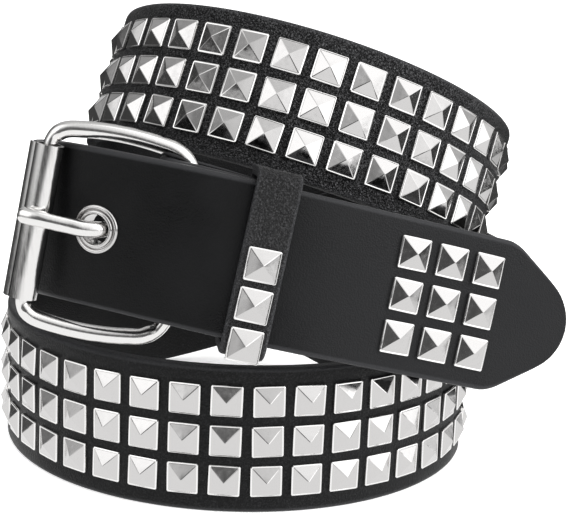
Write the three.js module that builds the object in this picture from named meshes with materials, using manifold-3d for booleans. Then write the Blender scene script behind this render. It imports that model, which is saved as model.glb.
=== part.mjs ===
// Studded leather belt, buckled and coiled in three laps. Millimetres, +Z up.
// It stands on the lower edge of its lowest lap, with the buckle at the front left.
import * as THREE from 'three';
import Module from 'manifold-3d';

const wasm = await Module();
wasm.setup();

// Strap
const strapWidth = 38;
const strapThickness = 2.8;
const strapBevel = 0.7;
const tipLength = 64.2;
const tipAngle = 33;
const tipNoseRadius = 13;
const seatGap = 0.3;
const bendGap = 0.1;
const layerClearance = 0.5;
const foldClearance = 0.75;

// Studs
const studPitch = 10.4;
const studSide = 8;
const studRim = 0.5;
const studHeight = 2.1;
const tipStudInset = 25.5;
const keeperStudPitch = 9.6;

// Lowest lap: level, and the one that the belt stands on
const lowerRadius = 64.7;

// Top lap
const upperRadius = 56.7;
const upperRight = 14.8;
const upperBack = 10.5;
const upperHeight = 81.2;
const upperRoll = 15.8;
const upperPitch = -19;

// Middle lap, which carries the buckle
const middleRadius = 74.2;
const middleHeight = 48.7;
const middleRoll = 10.1;
const middlePitch = -14.1;
const buckleRoll = 3.5;
const bucklePitch = -3;

// Buckle
const barDiameter = 3.4;
const frameLength = 35.2;
const frameRoom = 3.1;
const frameHeight = strapWidth + 2 * frameRoom + barDiameter;
const frameCorner = 8;
const rollerCorner = 5;
const frameBow = 0.9;
const buckleDrop = 0.71 * frameRoom;
const rollerDiameter = 7;
const rollerLength = 37.6;
const prongDiameter = 4;
const prongRing = 1.8;
const prongOverhang = 3.2;
const prongLift = 0.8 * buckleDrop;
const slotRoom = 1;
const barChamfer = 0.4;

// Holes
const eyeletCount = 5;
const eyeletPitch = 25.4;
const eyeletHole = 7.2;
const eyeletFlange = 11.8;
const eyeletTube = 0.9;
const eyeletFlangeHeight = 0.7;
const eyeletRound = 0.8;
const rivetDiameter = 3.2;
const rivetHead = 6.4;
const rivetHeadHeight = 1.1;
const rivetSpread = 24;
const flapLength = 38;

// Keeper loop
const keeperWidth = 10.6;
const keeperWall = 2.6;
const keeperClearance = 0.6;
const keeperCorner = 1.6;

// Places round the coil, as turns in degrees from the front towards the right
const heelTurn = -14.6;
const leanStartTurn = -25;
const leanEndTurn = 20;
const keeperTurn = 2.2;
const eyeletTurn = -27.5;
const tipTurn = 17.4;
const upperColumnTurn = -1.6;
const lowerColumnTurn = 8.4;

const chrome = { name: 'polished_nickel', color: 0xd9dadc, roughness: 0.14, metalness: 1 };
const leather = { name: 'black_leather', color: 0x17181a, roughness: 0.52, metalness: 0 };
const satin = { name: 'brushed_nickel', color: 0xb9babd, roughness: 0.34, metalness: 1 };

const degrees = Math.PI / 180;
const sin = (turn) => Math.sin(turn * degrees);
const cos = (turn) => Math.cos(turn * degrees);
const ease = (x) => {
  const t = Math.min(1, Math.max(0, x));
  return t * t * (3 - 2 * t);
};

// The middle lap seen square on. Reach is a share of middleRadius. It starts behind the left side,
// passes under the roller at -45 and over the keeper at 10, and ends behind the right side.
const middlePlan = [
  { turn: -270, reach: 0.76 },
  { turn: -180, reach: 0.77 },
  { turn: -120, reach: 0.77 },
  { turn: -95, reach: 0.79 },
  { turn: -75, reach: 0.82 },
  { turn: -60, reach: 0.90 },
  { turn: -50, reach: 0.975 },
  { turn: -40, reach: 1.045 },
  { turn: -30, reach: 1.072 },
  { turn: -20, reach: 1.060 },
  { turn: -10, reach: 1.032 },
  { turn: 0, reach: 1.012 },
  { turn: 20, reach: 0.994 },
  { turn: 40, reach: 1.002 },
  { turn: 60, reach: 1.050 },
  { turn: 90, reach: 1.130 },
  { turn: 135, reach: 1.180 },
  { turn: 180, reach: 1.150 },
  { turn: 240, reach: 1.050 },
];

// The three crossings behind the coil. Plan and rise are the turns in which the strap changes from
// one lap's outline and height to the next one's. Hump lifts it on the way, in strap widths.
const crossings = {
  middleToUpper: {
    planFrom: 195, planTo: 264, riseFrom: 75, riseTo: 226, hump: 0.07, humpFrom: 195, humpTo: 278,
  },
  upperToLower: {
    planFrom: 80, planTo: 180, riseFrom: 95, riseTo: 212, hump: 0, humpFrom: 90, humpTo: 250,
  },
  lowerToMiddle: {
    planFrom: 75, planTo: 135, riseFrom: 105, riseTo: 240, hump: 0.16, humpFrom: 125, humpTo: 235,
  },
};

function smoothTable(rows, turn) {
  let k = 0;
  while (k < rows.length - 2 && rows[k + 1].turn < turn) k += 1;
  const before = rows[Math.max(0, k - 1)];
  const here = rows[k];
  const next = rows[k + 1];
  const after = rows[Math.min(rows.length - 1, k + 2)];
  const span = next.turn - here.turn;
  const t = (turn - here.turn) / span;
  const slopeHere = (next.reach - before.reach) / (next.turn - before.turn) * span;
  const slopeNext = (after.reach - here.reach) / (after.turn - here.turn) * span;
  const t2 = t * t;
  const t3 = t2 * t;
  return (2 * t3 - 3 * t2 + 1) * here.reach + (t3 - 2 * t2 + t) * slopeHere
    + (3 * t2 - 2 * t3) * next.reach + (t3 - t2) * slopeNext;
}

function tiltOf(roll, pitch) {
  const tilt = new THREE.Matrix4().makeRotationY(roll * degrees);
  return tilt.multiply(new THREE.Matrix4().makeRotationX(pitch * degrees));
}

function lap(right, back, height, roll, pitch, reach) {
  const tilt = tiltOf(roll, pitch);
  const centre = new THREE.Vector3(right, back, height);
  const square = new THREE.Vector3(0, 0, 1).transformDirection(tilt);
  const up = () => square;
  const flat = (turn) => new THREE.Vector3(reach(turn) * sin(turn), -reach(turn) * cos(turn), 0);
  const point = (turn) => flat(turn).applyMatrix4(tilt).add(centre);
  return { up, point };
}

const lowerLap = lap(0, 0, strapWidth / 2, 0, 0, () => lowerRadius);
const upperLap = lap(upperRight, upperBack, upperHeight, upperRoll, upperPitch, () => upperRadius);
const middleLap = lap(0, 0, middleHeight, middleRoll, middlePitch,
  (turn) => middleRadius * smoothTable(middlePlan, turn));

// The buckle leans less than the rest of the middle lap, so the strap twists a little beside it
const squareUp = middleLap.up(0);
const buckleUp = new THREE.Vector3(0, 0, 1).transformDirection(tiltOf(buckleRoll, bucklePitch));
middleLap.up = (turn) => {
  if (turn > leanEndTurn) return squareUp;
  const twist = ease((turn - leanStartTurn) / (leanEndTurn - leanStartTurn));
  return buckleUp.clone().lerp(squareUp, twist).normalize();
};

// Depths under the outer face of the buckled end: the strap under it, the heel bar and the folded flap
const layerSpace = studHeight + layerClearance;
const underDepth = strapThickness + layerSpace;
const foldRadius = barDiameter / 2 + foldClearance + strapThickness;
const heelDepth = underDepth + foldRadius;
const flapDepth = underDepth + 2 * foldRadius;

function crossingStep(crossing, fromLap, toLap, turnFrom, turnTo, turn) {
  const plan = ease((turn - crossing.planFrom) / (crossing.planTo - crossing.planFrom));
  const rise = ease((turn - crossing.riseFrom) / (crossing.riseTo - crossing.riseFrom));
  const from = crossing.depth ? middlePoint(turn, crossing.depth) : fromLap.point(turnFrom(turn));
  const to = toLap.point(turnTo(turn));
  const position = from.clone().lerp(to, plan);
  position.z = from.z + (to.z - from.z) * rise;
  const swing = (turn - crossing.humpFrom) / (crossing.humpTo - crossing.humpFrom);
  const lift = swing > 0 && swing < 1 ? Math.sin(Math.PI * swing) ** 2 : 0;
  position.z += crossing.hump * strapWidth * lift;
  const up = fromLap.up(turnFrom(turn)).clone().lerp(toLap.up(turnTo(turn)), rise).normalize();
  return { position, up };
}

// Axes on the middle lap: X along the strap towards the right, Y across it, Z out of the coil
function middleMatrix(turn, depth) {
  const heading = middleLap.point(turn + 0.5).sub(middleLap.point(turn - 0.5)).normalize();
  const up = middleLap.up(turn).clone();
  up.addScaledVector(heading, -up.dot(heading)).normalize();
  const out = heading.clone().cross(up);
  const position = middleLap.point(turn).addScaledVector(out, -depth);
  return new THREE.Matrix4().makeBasis(heading, up, out).setPosition(position);
}
const middlePoint = (turn, depth) => (
  new THREE.Vector3().setFromMatrixPosition(middleMatrix(turn, depth))
);
const heelMatrix = middleMatrix(heelTurn, heelDepth);

// The buckle hangs a little low on the strap, so its bar sits back in the fold to clear it at the corner
const barCorner = strapWidth / 2 + buckleDrop - (frameHeight / 2 - frameCorner);
const barInset = frameCorner - Math.sqrt(frameCorner ** 2 - barCorner ** 2) + seatGap;

// The outer face's middle line, from the folded end round three laps to the straight tip
function layRoute() {
  const steps = [];
  const same = (turn) => turn;
  const add = (part, turn, position, up) => steps.push({ part, turn, position, up });
  const flapAngle = flapLength / middleRadius / degrees;
  for (let k = 0; k <= 12; k += 1) {
    const turn = heelTurn + flapAngle * (1 - k / 12);
    add('flap', turn, middlePoint(turn, flapDepth), middleLap.up(turn));
  }
  for (let k = 1; k < 12; k += 1) {
    const round = 90 - 180 * k / 12;
    const position = new THREE.Vector3(-foldRadius * cos(round), 0, -foldRadius * sin(round));
    position.applyMatrix4(heelMatrix);
    add('fold', heelTurn, position, middleLap.up(heelTurn));
  }
  for (let turn = heelTurn; turn < 75; turn += 1.5) {
    add('under', turn, middlePoint(turn, underDepth), middleLap.up(turn));
  }
  const toUpper = { ...crossings.middleToUpper, depth: underDepth };
  for (let turn = 75; turn < 285; turn += 2) {
    const step = crossingStep(toUpper, middleLap, upperLap, same, same, turn);
    add('rise', turn, step.position, step.up);
  }
  for (let turn = -75; turn < 80; turn += 2) {
    add('upper', turn, upperLap.point(turn), upperLap.up(turn));
  }
  for (let turn = 80; turn < 235; turn += 2) {
    const step = crossingStep(crossings.upperToLower, upperLap, lowerLap, same, same, turn);
    add('fall', turn, step.position, step.up);
  }
  for (let turn = -125; turn < 60; turn += 2) {
    add('lower', turn, lowerLap.point(turn), lowerLap.up(turn));
  }
  for (let turn = 60; turn < 262; turn += 2) {
    const step = crossingStep(crossings.lowerToMiddle, lowerLap, middleLap, same,
      (value) => value - 360, turn);
    add('return', turn, step.position, step.up);
  }
  for (let turn = -98; turn < tipTurn; turn += 1.5) {
    add('over', turn, middleLap.point(turn), middleLap.up(turn));
  }
  const start = middleLap.point(tipTurn);
  const ahead = middleLap.point(tipTurn + 0.5).sub(middleLap.point(tipTurn - 0.5)).normalize();
  for (let k = 0; k <= 16; k += 1) {
    const further = tipTurn + tipLength * k / 16 / middleRadius / degrees;
    add('tip', further, start.clone().addScaledVector(ahead, tipLength * k / 16), middleLap.up(further));
  }
  return steps;
}

const route = layRoute();
route.forEach((step, k) => {
  step.at = k === 0 ? 0 : route[k - 1].at + step.position.distanceTo(route[k - 1].position);
});
const routeLength = route[route.length - 1].at;

function tangentAt(k) {
  const before = route[Math.max(0, k - 1)].position;
  const after = route[Math.min(route.length - 1, k + 1)].position;
  return after.clone().sub(before).normalize();
}
route.forEach((step, k) => {
  step.along = tangentAt(k);
});

function frameAt(distance) {
  const d = Math.min(routeLength, Math.max(0, distance));
  let low = 0;
  let high = route.length - 1;
  while (high - low > 1) {
    const half = (low + high) >> 1;
    if (route[half].at <= d) low = half;
    else high = half;
  }
  const a = route[low];
  const b = route[high];
  const t = (d - a.at) / Math.max(1e-9, b.at - a.at);
  const position = a.position.clone().lerp(b.position, t);
  const along = a.along.clone().lerp(b.along, t).normalize();
  const up = a.up.clone().lerp(b.up, t);
  up.addScaledVector(along, -up.dot(along)).normalize();
  const out = along.clone().cross(up);
  return { position, along, up, out };
}

// Distance along the strap of the place in one part of the route with a given turn
function distanceTo(part, turn) {
  const steps = route.filter((step) => step.part === part);
  let best = steps[0];
  for (let k = 0; k < steps.length - 1; k += 1) {
    const a = steps[k];
    const b = steps[k + 1];
    if ((a.turn - turn) * (b.turn - turn) <= 0 && a.turn !== b.turn) {
      return a.at + (b.at - a.at) * (turn - a.turn) / (b.turn - a.turn);
    }
    if (Math.abs(b.turn - turn) < Math.abs(best.turn - turn)) best = b;
  }
  return best.at;
}

const places = {
  keeperUnder: distanceTo('under', keeperTurn),
  keeperOver: distanceTo('over', keeperTurn),
  eyelet: distanceTo('over', eyeletTurn),
  upperColumn: distanceTo('upper', upperColumnTurn),
  lowerColumn: distanceTo('lower', lowerColumnTurn),
  tipStart: distanceTo('tip', tipTurn),
};

// Stud columns: evenly spread between the first, two columns fixed on the front, and the last
function studColumns() {
  const first = places.keeperUnder + keeperWidth / 2 + studPitch;
  const last = places.eyelet - (eyeletCount - 1) * eyeletPitch - eyeletFlange / 2 - studPitch;
  const fixed = [first, places.upperColumn, places.lowerColumn, last];
  const columns = [first];
  for (let k = 0; k < fixed.length - 1; k += 1) {
    const count = Math.round((fixed[k + 1] - fixed[k]) / studPitch);
    const step = (fixed[k + 1] - fixed[k]) / count;
    for (let n = 1; n <= count; n += 1) columns.push(fixed[k] + step * n);
  }
  return columns;
}
const columns = studColumns();
const studRows = [-studPitch, 0, studPitch];

class Builder {
  constructor() {
    this.points = [];
    this.faces = [];
  }

  point(vector) {
    this.points.push(vector.x, vector.y, vector.z);
    return this.points.length / 3 - 1;
  }

  quad(a, b, c, d) {
    this.faces.push(a, b, c, a, c, d);
  }

  triangle(a, b, c) {
    this.faces.push(a, b, c);
  }

  solid() {
    const mesh = new wasm.Mesh({
      numProp: 3,
      vertProperties: new Float32Array(this.points),
      triVerts: new Uint32Array(this.faces),
    });
    return new wasm.Manifold(mesh);
  }
}

function toSolid(geometry) {
  const source = geometry.index ? geometry.toNonIndexed() : geometry;
  const corners = source.getAttribute('position');
  const builder = new Builder();
  const known = new Map();
  const order = [];
  for (let k = 0; k < corners.count; k += 1) {
    const corner = new THREE.Vector3().fromBufferAttribute(corners, k);
    const key = corner.toArray().map((v) => Math.round(v * 1e4)).join(' ');
    if (!known.has(key)) known.set(key, builder.point(corner));
    order.push(known.get(key));
  }
  for (let k = 0; k < order.length; k += 3) {
    const [a, b, c] = order.slice(k, k + 3);
    if (a !== b && b !== c && a !== c) builder.triangle(a, b, c);
  }
  return builder.solid();
}

function toGeometry(solid) {
  const mesh = solid.getMesh();
  const points = new Float32Array(mesh.numVert * 3);
  for (let k = 0; k < mesh.numVert; k += 1) {
    for (let j = 0; j < 3; j += 1) points[k * 3 + j] = mesh.vertProperties[k * mesh.numProp + j];
  }
  const geometry = new THREE.BufferGeometry();
  geometry.setAttribute('position', new THREE.BufferAttribute(points, 3));
  geometry.setIndex(Array.from(mesh.triVerts));
  geometry.computeVertexNormals();
  return geometry;
}

// The tip narrows in two straight shoulders that run into a round nose
const noseLength = tipNoseRadius * (1 - sin(tipAngle));
const noseHalfWidth = tipNoseRadius * cos(tipAngle);
const shoulderSlope = Math.tan(tipAngle * degrees);
const shoulderLength = noseLength + (strapWidth / 2 - noseHalfWidth) / shoulderSlope;

function halfWidthAt(distance) {
  const left = routeLength - distance;
  if (left >= shoulderLength) return strapWidth / 2;
  if (left > noseLength) return noseHalfWidth + (left - noseLength) * shoulderSlope;
  return Math.sqrt(Math.max(1, left * (2 * tipNoseRadius - left)));
}

function strapStations() {
  const stations = [];
  const half = studSide / 2;
  for (const column of columns) {
    stations.push({ at: column - half, studs: true }, { at: column + half, studs: false });
  }
  const plain = (from, to, step) => {
    const count = Math.max(1, Math.round((to - from) / step));
    for (let k = 0; k < count; k += 1) {
      stations.push({ at: from + (to - from) * k / count, studs: false });
    }
  };
  const foldStart = route.find((step) => step.part === 'fold').at;
  const foldEnd = route.find((step) => step.part === 'under').at;
  plain(0, foldStart, studPitch);
  plain(foldStart, foldEnd, 1.8);
  plain(foldEnd, columns[0] - half, studPitch / 2);
  plain(columns[columns.length - 1] + half + 0.1, places.tipStart, studPitch / 2);
  plain(places.tipStart, routeLength - shoulderLength, studPitch * 2);
  stations.push({ at: routeLength - shoulderLength, studs: false });
  for (let k = 0; k <= 6; k += 1) {
    const left = tipNoseRadius * (1 - cos((90 - tipAngle) * (1 - k / 6)));
    stations.push({ at: routeLength - left, studs: false });
  }
  stations.sort((a, b) => a.at - b.at);
  return stations.filter((station, k) => k === 0 || station.at - stations[k - 1].at > 0.05);
}

function buildStrap() {
  const builder = new Builder();
  const side = studSide / 2;
  const rows = studRows.flatMap((row) => [row - side, row + side]);
  const edge = strapWidth / 2;
  const outline = [[-edge, -strapThickness], [-edge, -strapBevel], [-edge + strapBevel, 0]]
    .concat(rows.map((row) => [row, 0]))
    .concat([[edge - strapBevel, 0], [edge, -strapBevel], [edge, -strapThickness]]);
  const stations = strapStations();
  const rings = stations.map((station) => {
    const frame = frameAt(station.at);
    const share = halfWidthAt(station.at) / edge;
    return outline.map(([across, depth]) => {
      const position = frame.position.clone().addScaledVector(frame.up, across * share);
      return builder.point(position.addScaledVector(frame.out, depth));
    });
  });
  const count = outline.length;
  for (let k = 0; k < rings.length - 1; k += 1) {
    for (let j = 0; j < count; j += 1) {
      const next = (j + 1) % count;
      const corners = [rings[k][j], rings[k + 1][j], rings[k + 1][next], rings[k][next]];
      const isStud = stations[k].studs && j >= 3 && j < 9 && (j - 3) % 2 === 0;
      if (isStud) addStud(builder, corners, stations[k].at + side, studRows[(j - 3) / 2]);
      else builder.quad(...corners);
    }
  }
  const caps = [rings[0], rings[rings.length - 1]];
  caps.forEach((ring, which) => {
    for (let j = 1; j < count - 1; j += 1) {
      if (which === 0) builder.triangle(ring[0], ring[j], ring[j + 1]);
      else builder.triangle(ring[0], ring[j + 1], ring[j]);
    }
  });
  return builder.solid();
}

// One pyramid on the strap: four facets that meet in a point
function addStud(builder, corners, at, row) {
  const frame = frameAt(at);
  const raise = (along, across, height) => {
    const position = frame.position.clone().addScaledVector(frame.along, along);
    position.addScaledVector(frame.up, row + across);
    return builder.point(position.addScaledVector(frame.out, height));
  };
  const peak = raise(0, 0, studHeight);
  for (let k = 0; k < 4; k += 1) builder.triangle(corners[k], corners[(k + 1) % 4], peak);
}

// Bends a flat piece with the strap: X along the strap, Y across it, Z out of it
function wrapOnStrap(geometry, distance, depth = 0, across = 0) {
  const corners = geometry.getAttribute('position');
  for (let k = 0; k < corners.count; k += 1) {
    const frame = frameAt(distance + corners.getX(k));
    const place = frame.position.clone().addScaledVector(frame.up, across + corners.getY(k));
    place.addScaledVector(frame.out, depth + corners.getZ(k));
    corners.setXYZ(k, place.x, place.y, place.z);
  }
  return geometry;
}

function holeCutter(distance, across, radius, from, to, sides) {
  const geometry = new THREE.CylinderGeometry(radius, radius, to - from, sides);
  geometry.rotateX(Math.PI / 2);
  geometry.translate(0, 0, (from + to) / 2);
  return toSolid(wrapOnStrap(geometry, distance, 0, across));
}

const group = new THREE.Group();
function addPiece(name, geometry, material) {
  const mesh = new THREE.Mesh(geometry, new THREE.MeshStandardMaterial(material));
  mesh.name = name;
  group.add(mesh);
  return mesh;
}

const eyeletPlaces = Array.from({ length: eyeletCount }, (_, k) => places.eyelet - k * eyeletPitch);
const rivetFrom = distanceTo('under', heelTurn) + barInset + barDiameter / 2;
const rivetAt = (rivetFrom + places.keeperUnder - keeperWidth / 2) / 2;

function cutStrap() {
  let solid = buildStrap();
  for (const at of eyeletPlaces) {
    const radius = eyeletHole / 2 + eyeletTube + seatGap;
    solid = solid.subtract(holeCutter(at, 0, radius, -2 * strapThickness, strapThickness, 16));
  }
  for (const across of [-rivetSpread / 2, rivetSpread / 2]) {
    const radius = rivetDiameter / 2 + seatGap + bendGap;
    const from = -flapDepth + underDepth - strapThickness / 2;
    solid = solid.subtract(holeCutter(rivetAt, across, radius, from, strapThickness / 2, 10));
  }
  const slotFrom = -foldRadius - strapThickness;
  const slotTo = barInset + barDiameter / 2 + prongRing + slotRoom;
  const slotWide = prongDiameter + buckleDrop + 2 * slotRoom;
  const slot = new THREE.BoxGeometry(slotTo - slotFrom, slotWide, 2 * foldRadius + strapThickness);
  slot.translate((slotFrom + slotTo) / 2, -buckleDrop / 2, 0);
  slot.applyMatrix4(heelMatrix);
  return solid.subtract(toSolid(slot));
}

// The frame lies flat between the heel bar and the roller, which clears the strap passing inside it
function rollerClears(matrix) {
  const local = matrix.clone().invert();
  for (let turn = heelTurn - 8; turn > -70; turn -= 1) {
    for (const across of [-strapWidth / 2, 0, strapWidth / 2]) {
      const skin = new THREE.Vector3(0, across, 0);
      skin.applyMatrix4(middleMatrix(turn, 0)).applyMatrix4(local);
      if (Math.hypot(skin.x + frameLength, skin.z) < rollerDiameter / 2 + seatGap) return false;
      if (skin.z > 0 && skin.x < -frameLength) return false;
    }
  }
  return true;
}

function buckleMatrix() {
  const bar = heelMatrix.clone().multiply(new THREE.Matrix4().makeTranslation(barInset, -buckleDrop, 0));
  let angle = 0;
  let matrix = bar;
  while (angle < 40 && !rollerClears(matrix)) {
    angle += 0.1;
    matrix = bar.clone().multiply(new THREE.Matrix4().makeRotationY(angle * degrees));
  }
  return matrix;
}

const buckle = buckleMatrix();

// A round bar along a line of points, kept square to one side direction
function buildBar(points, radius, sides, side, closed) {
  const builder = new Builder();
  const count = points.length;
  const at = (k) => points[closed ? (k + count) % count : Math.min(count - 1, Math.max(0, k))];
  const rings = points.map((point, k) => {
    const along = at(k + 1).clone().sub(at(k - 1)).normalize();
    const across = side.clone().addScaledVector(along, -side.dot(along)).normalize();
    const square = along.clone().cross(across);
    return Array.from({ length: sides }, (_, n) => {
      const turn = 360 * n / sides;
      const place = point.clone().addScaledVector(across, radius * cos(turn));
      return builder.point(place.addScaledVector(square, radius * sin(turn)));
    });
  });
  const last = closed ? count : count - 1;
  for (let k = 0; k < last; k += 1) {
    const here = rings[k];
    const next = rings[(k + 1) % count];
    for (let n = 0; n < sides; n += 1) {
      const beside = (n + 1) % sides;
      builder.quad(here[n], here[beside], next[beside], next[n]);
    }
  }
  if (!closed) {
    for (let n = 1; n < sides - 1; n += 1) {
      builder.triangle(rings[0][0], rings[0][n + 1], rings[0][n]);
      builder.triangle(rings[count - 1][0], rings[count - 1][n], rings[count - 1][n + 1]);
    }
  }
  return builder.solid();
}

const buckleSide = (x, y, z) => new THREE.Vector3(x, y, z).transformDirection(buckle);

function buildFrame() {
  const half = frameHeight / 2;
  const points = [];
  const heel = frameCorner;
  const front = rollerCorner;
  const corners = [
    { x: -heel, y: half - heel, start: 0, radius: heel },
    { x: -frameLength + front, y: half - front, start: 90, radius: front },
    { x: -frameLength + front, y: -half + front, start: 180, radius: front },
    { x: -heel, y: -half + heel, start: 270, radius: heel },
  ];
  for (const corner of corners) {
    for (let k = 0; k <= 5; k += 1) {
      const turn = corner.start + 90 * k / 5;
      points.push([corner.x + corner.radius * cos(turn), corner.y + corner.radius * sin(turn)]);
    }
    if (corner.start === 0) points.push([-frameLength / 2, half + frameBow]);
    if (corner.start === 180) points.push([-frameLength / 2, -half - frameBow]);
  }
  const path = points.map(([x, y]) => new THREE.Vector3(x, y, 0).applyMatrix4(buckle));
  return toGeometry(buildBar(path, barDiameter / 2, 10, buckleSide(0, 0, 1), true));
}

function ringProfile(inner, outer, length, chamfer) {
  const half = length / 2;
  return [
    new THREE.Vector2(inner, -half), new THREE.Vector2(outer - chamfer, -half),
    new THREE.Vector2(outer, -half + chamfer), new THREE.Vector2(outer, half - chamfer),
    new THREE.Vector2(outer - chamfer, half), new THREE.Vector2(inner, half),
    new THREE.Vector2(inner, -half),
  ];
}

function buildRoller() {
  const profile = ringProfile(barDiameter / 2 + seatGap, rollerDiameter / 2, rollerLength, barChamfer);
  const geometry = new THREE.LatheGeometry(profile, 20);
  geometry.translate(-frameLength, 0, 0);
  geometry.applyMatrix4(buckle);
  return toGeometry(toSolid(geometry));
}

// The prong runs from the heel bar under the strap, up through the eyelet and over the roller
function buildProng() {
  const radius = prongDiameter / 2;
  const under = -strapThickness - seatGap - eyeletFlangeHeight - radius;
  const over = rollerDiameter / 2 + seatGap + radius;
  const room = eyeletHole / 2 - radius;
  const nearEyelet = [
    [eyeletFlange / 2 + slotRoom, under - 0.7 * radius],
    [1.1 * room, under - 0.45 * radius],
    [0.65 * room, -strapThickness],
    [0.5 * room, 0],
    [-1.4 * room, 1.3 * radius],
  ];
  const atEyelet = frameAt(places.eyelet);
  const inEyelet = ([along, out]) => atEyelet.position.clone()
    .addScaledVector(atEyelet.along, along).addScaledVector(atEyelet.out, out);
  const inBuckle = (x, z, y = 0) => new THREE.Vector3(x, y, z).applyMatrix4(buckle);
  const points = [inBuckle(-barDiameter / 2 - slotRoom, 0)].concat(nearEyelet.map(inEyelet));
  const top = inBuckle(-frameLength, over + bendGap, prongLift);
  const leaves = points[points.length - 1];
  points.push(leaves.clone().lerp(top, 0.3));
  points.push(top);
  points.push(inBuckle(-frameLength - prongOverhang, over - 0.3 * prongOverhang, prongLift));
  const path = new THREE.CatmullRomCurve3(points, false, 'centripetal').getSpacedPoints(26);
  const shaft = buildBar(path, radius, 10, buckleSide(0, 1, 0), false);
  const inner = barDiameter / 2 + seatGap;
  const profile = ringProfile(inner, inner + prongRing, prongDiameter, barChamfer);
  const ring = new THREE.LatheGeometry(profile, 14);
  const bar = new THREE.CylinderGeometry(inner, inner, 4 * prongDiameter, 14);
  ring.applyMatrix4(buckle);
  bar.applyMatrix4(buckle);
  return toGeometry(shaft.subtract(toSolid(bar)).add(toSolid(ring)));
}

function buildEyelet(at) {
  const inner = eyeletHole / 2;
  const tube = inner + eyeletTube;
  const flange = eyeletFlange / 2;
  const low = -strapThickness - seatGap - bendGap;
  const high = seatGap;
  const profile = [
    [inner, low - eyeletFlangeHeight], [flange, low - eyeletFlangeHeight], [flange, low], [tube, low],
    [tube, high], [flange, high], [flange - eyeletRound, high + eyeletFlangeHeight],
    [inner + eyeletRound, high + eyeletFlangeHeight], [inner, high], [inner, low - eyeletFlangeHeight],
  ].map(([radius, height]) => new THREE.Vector2(radius, height));
  const geometry = new THREE.LatheGeometry(profile, 14);
  geometry.rotateX(Math.PI / 2);
  return toGeometry(toSolid(wrapOnStrap(geometry, at)));
}

function buildKeeper() {
  const innerHalf = strapWidth / 2 + keeperClearance;
  const outerHalf = innerHalf + keeperWall + keeperClearance;
  const deep = flapDepth + keeperClearance / 2;
  const high = keeperClearance / 2;
  const corner = keeperCorner;
  const outer = new THREE.Shape();
  outer.moveTo(-outerHalf + corner, high + keeperWall);
  outer.lineTo(outerHalf - corner, high + keeperWall);
  outer.quadraticCurveTo(outerHalf, high + keeperWall, outerHalf, high + keeperWall - corner);
  outer.lineTo(outerHalf, -deep - keeperWall + corner);
  outer.quadraticCurveTo(outerHalf, -deep - keeperWall, outerHalf - corner, -deep - keeperWall);
  outer.lineTo(-outerHalf + corner, -deep - keeperWall);
  outer.quadraticCurveTo(-outerHalf, -deep - keeperWall, -outerHalf, -deep - keeperWall + corner);
  outer.lineTo(-outerHalf, high + keeperWall - corner);
  outer.quadraticCurveTo(-outerHalf, high + keeperWall, -outerHalf + corner, high + keeperWall);
  const hole = new THREE.Path();
  hole.moveTo(-innerHalf, high);
  hole.lineTo(-innerHalf, -deep);
  hole.lineTo(innerHalf, -deep);
  hole.lineTo(innerHalf, high);
  hole.closePath();
  outer.holes.push(hole);
  const extrusion = { depth: keeperWidth, steps: 2, bevelEnabled: false, curveSegments: 3 };
  const geometry = new THREE.ExtrudeGeometry(outer, extrusion);
  geometry.translate(0, 0, -keeperWidth / 2);
  geometry.applyMatrix4(new THREE.Matrix4().set(0, 0, 1, 0, 1, 0, 0, 0, 0, 1, 0, 0, 0, 0, 0, 1));
  return toGeometry(toSolid(wrapOnStrap(geometry, places.keeperOver)));
}

function looseStud(distance, depth, across) {
  const side = studSide / 2;
  const rim = side - studRim / 2;
  const builder = new Builder();
  const frame = frameAt(distance);
  const place = (x, y, height) => {
    const near = frameAt(distance + x);
    const point = near.position.clone().addScaledVector(near.up, across + y);
    return builder.point(point.addScaledVector(frame.out, depth + height));
  };
  const square = (half, height) => [[-half, -half], [half, -half], [half, half], [-half, half]]
    .map(([x, y]) => place(x, y, height));
  const base = square(side, seatGap);
  const top = square(rim, seatGap + studRim);
  const peak = place(0, 0, seatGap + studHeight);
  for (let k = 0; k < 4; k += 1) {
    const next = (k + 1) % 4;
    builder.quad(base[k], base[next], top[next], top[k]);
    builder.triangle(top[k], top[next], peak);
  }
  builder.quad(base[3], base[2], base[1], base[0]);
  return toGeometry(builder.solid());
}

function buildRivet(across) {
  const shank = rivetDiameter / 2;
  const head = rivetHead / 2;
  const high = seatGap + bendGap;
  const low = -flapDepth + underDepth - seatGap - bendGap;
  const profile = [
    [0, low - rivetHeadHeight], [head, low - rivetHeadHeight], [head, low], [shank, low],
    [shank, high], [head, high], [head, high + rivetHeadHeight], [0, high + rivetHeadHeight],
  ].map(([radius, height]) => new THREE.Vector2(radius, height));
  const geometry = new THREE.LatheGeometry(profile, 12);
  geometry.rotateX(Math.PI / 2);
  return toGeometry(toSolid(wrapOnStrap(geometry, rivetAt, 0, across)));
}

addPiece('strap', toGeometry(cutStrap()), leather);
addPiece('keeper', buildKeeper(), leather);
addPiece('buckle_frame', buildFrame(), satin);
addPiece('roller', buildRoller(), satin);
addPiece('prong', buildProng(), satin);
eyeletPlaces.forEach((at, k) => addPiece(`eyelet_${k + 1}`, buildEyelet(at), chrome));
for (let column = 0; column < 3; column += 1) {
  const at = routeLength - tipStudInset - (2 - column) * studPitch;
  studRows.forEach((row, k) => {
    addPiece(`tip_stud_${column * 3 + k + 1}`, looseStud(at, 0, row), chrome);
  });
}
for (let k = 0; k < 3; k += 1) {
  const stud = looseStud(places.keeperOver, keeperClearance / 2 + keeperWall, -k * keeperStudPitch);
  addPiece(`keeper_stud_${k + 1}`, stud, chrome);
}
[-rivetSpread / 2, rivetSpread / 2].forEach((across, k) => {
  addPiece(`fold_rivet_${k + 1}`, buildRivet(across), satin);
});

const bounds = new THREE.Box3().setFromObject(group);
const middle = bounds.getCenter(new THREE.Vector3());
group.position.set(-middle.x, -middle.y, -bounds.min.z);

export default group;
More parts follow.
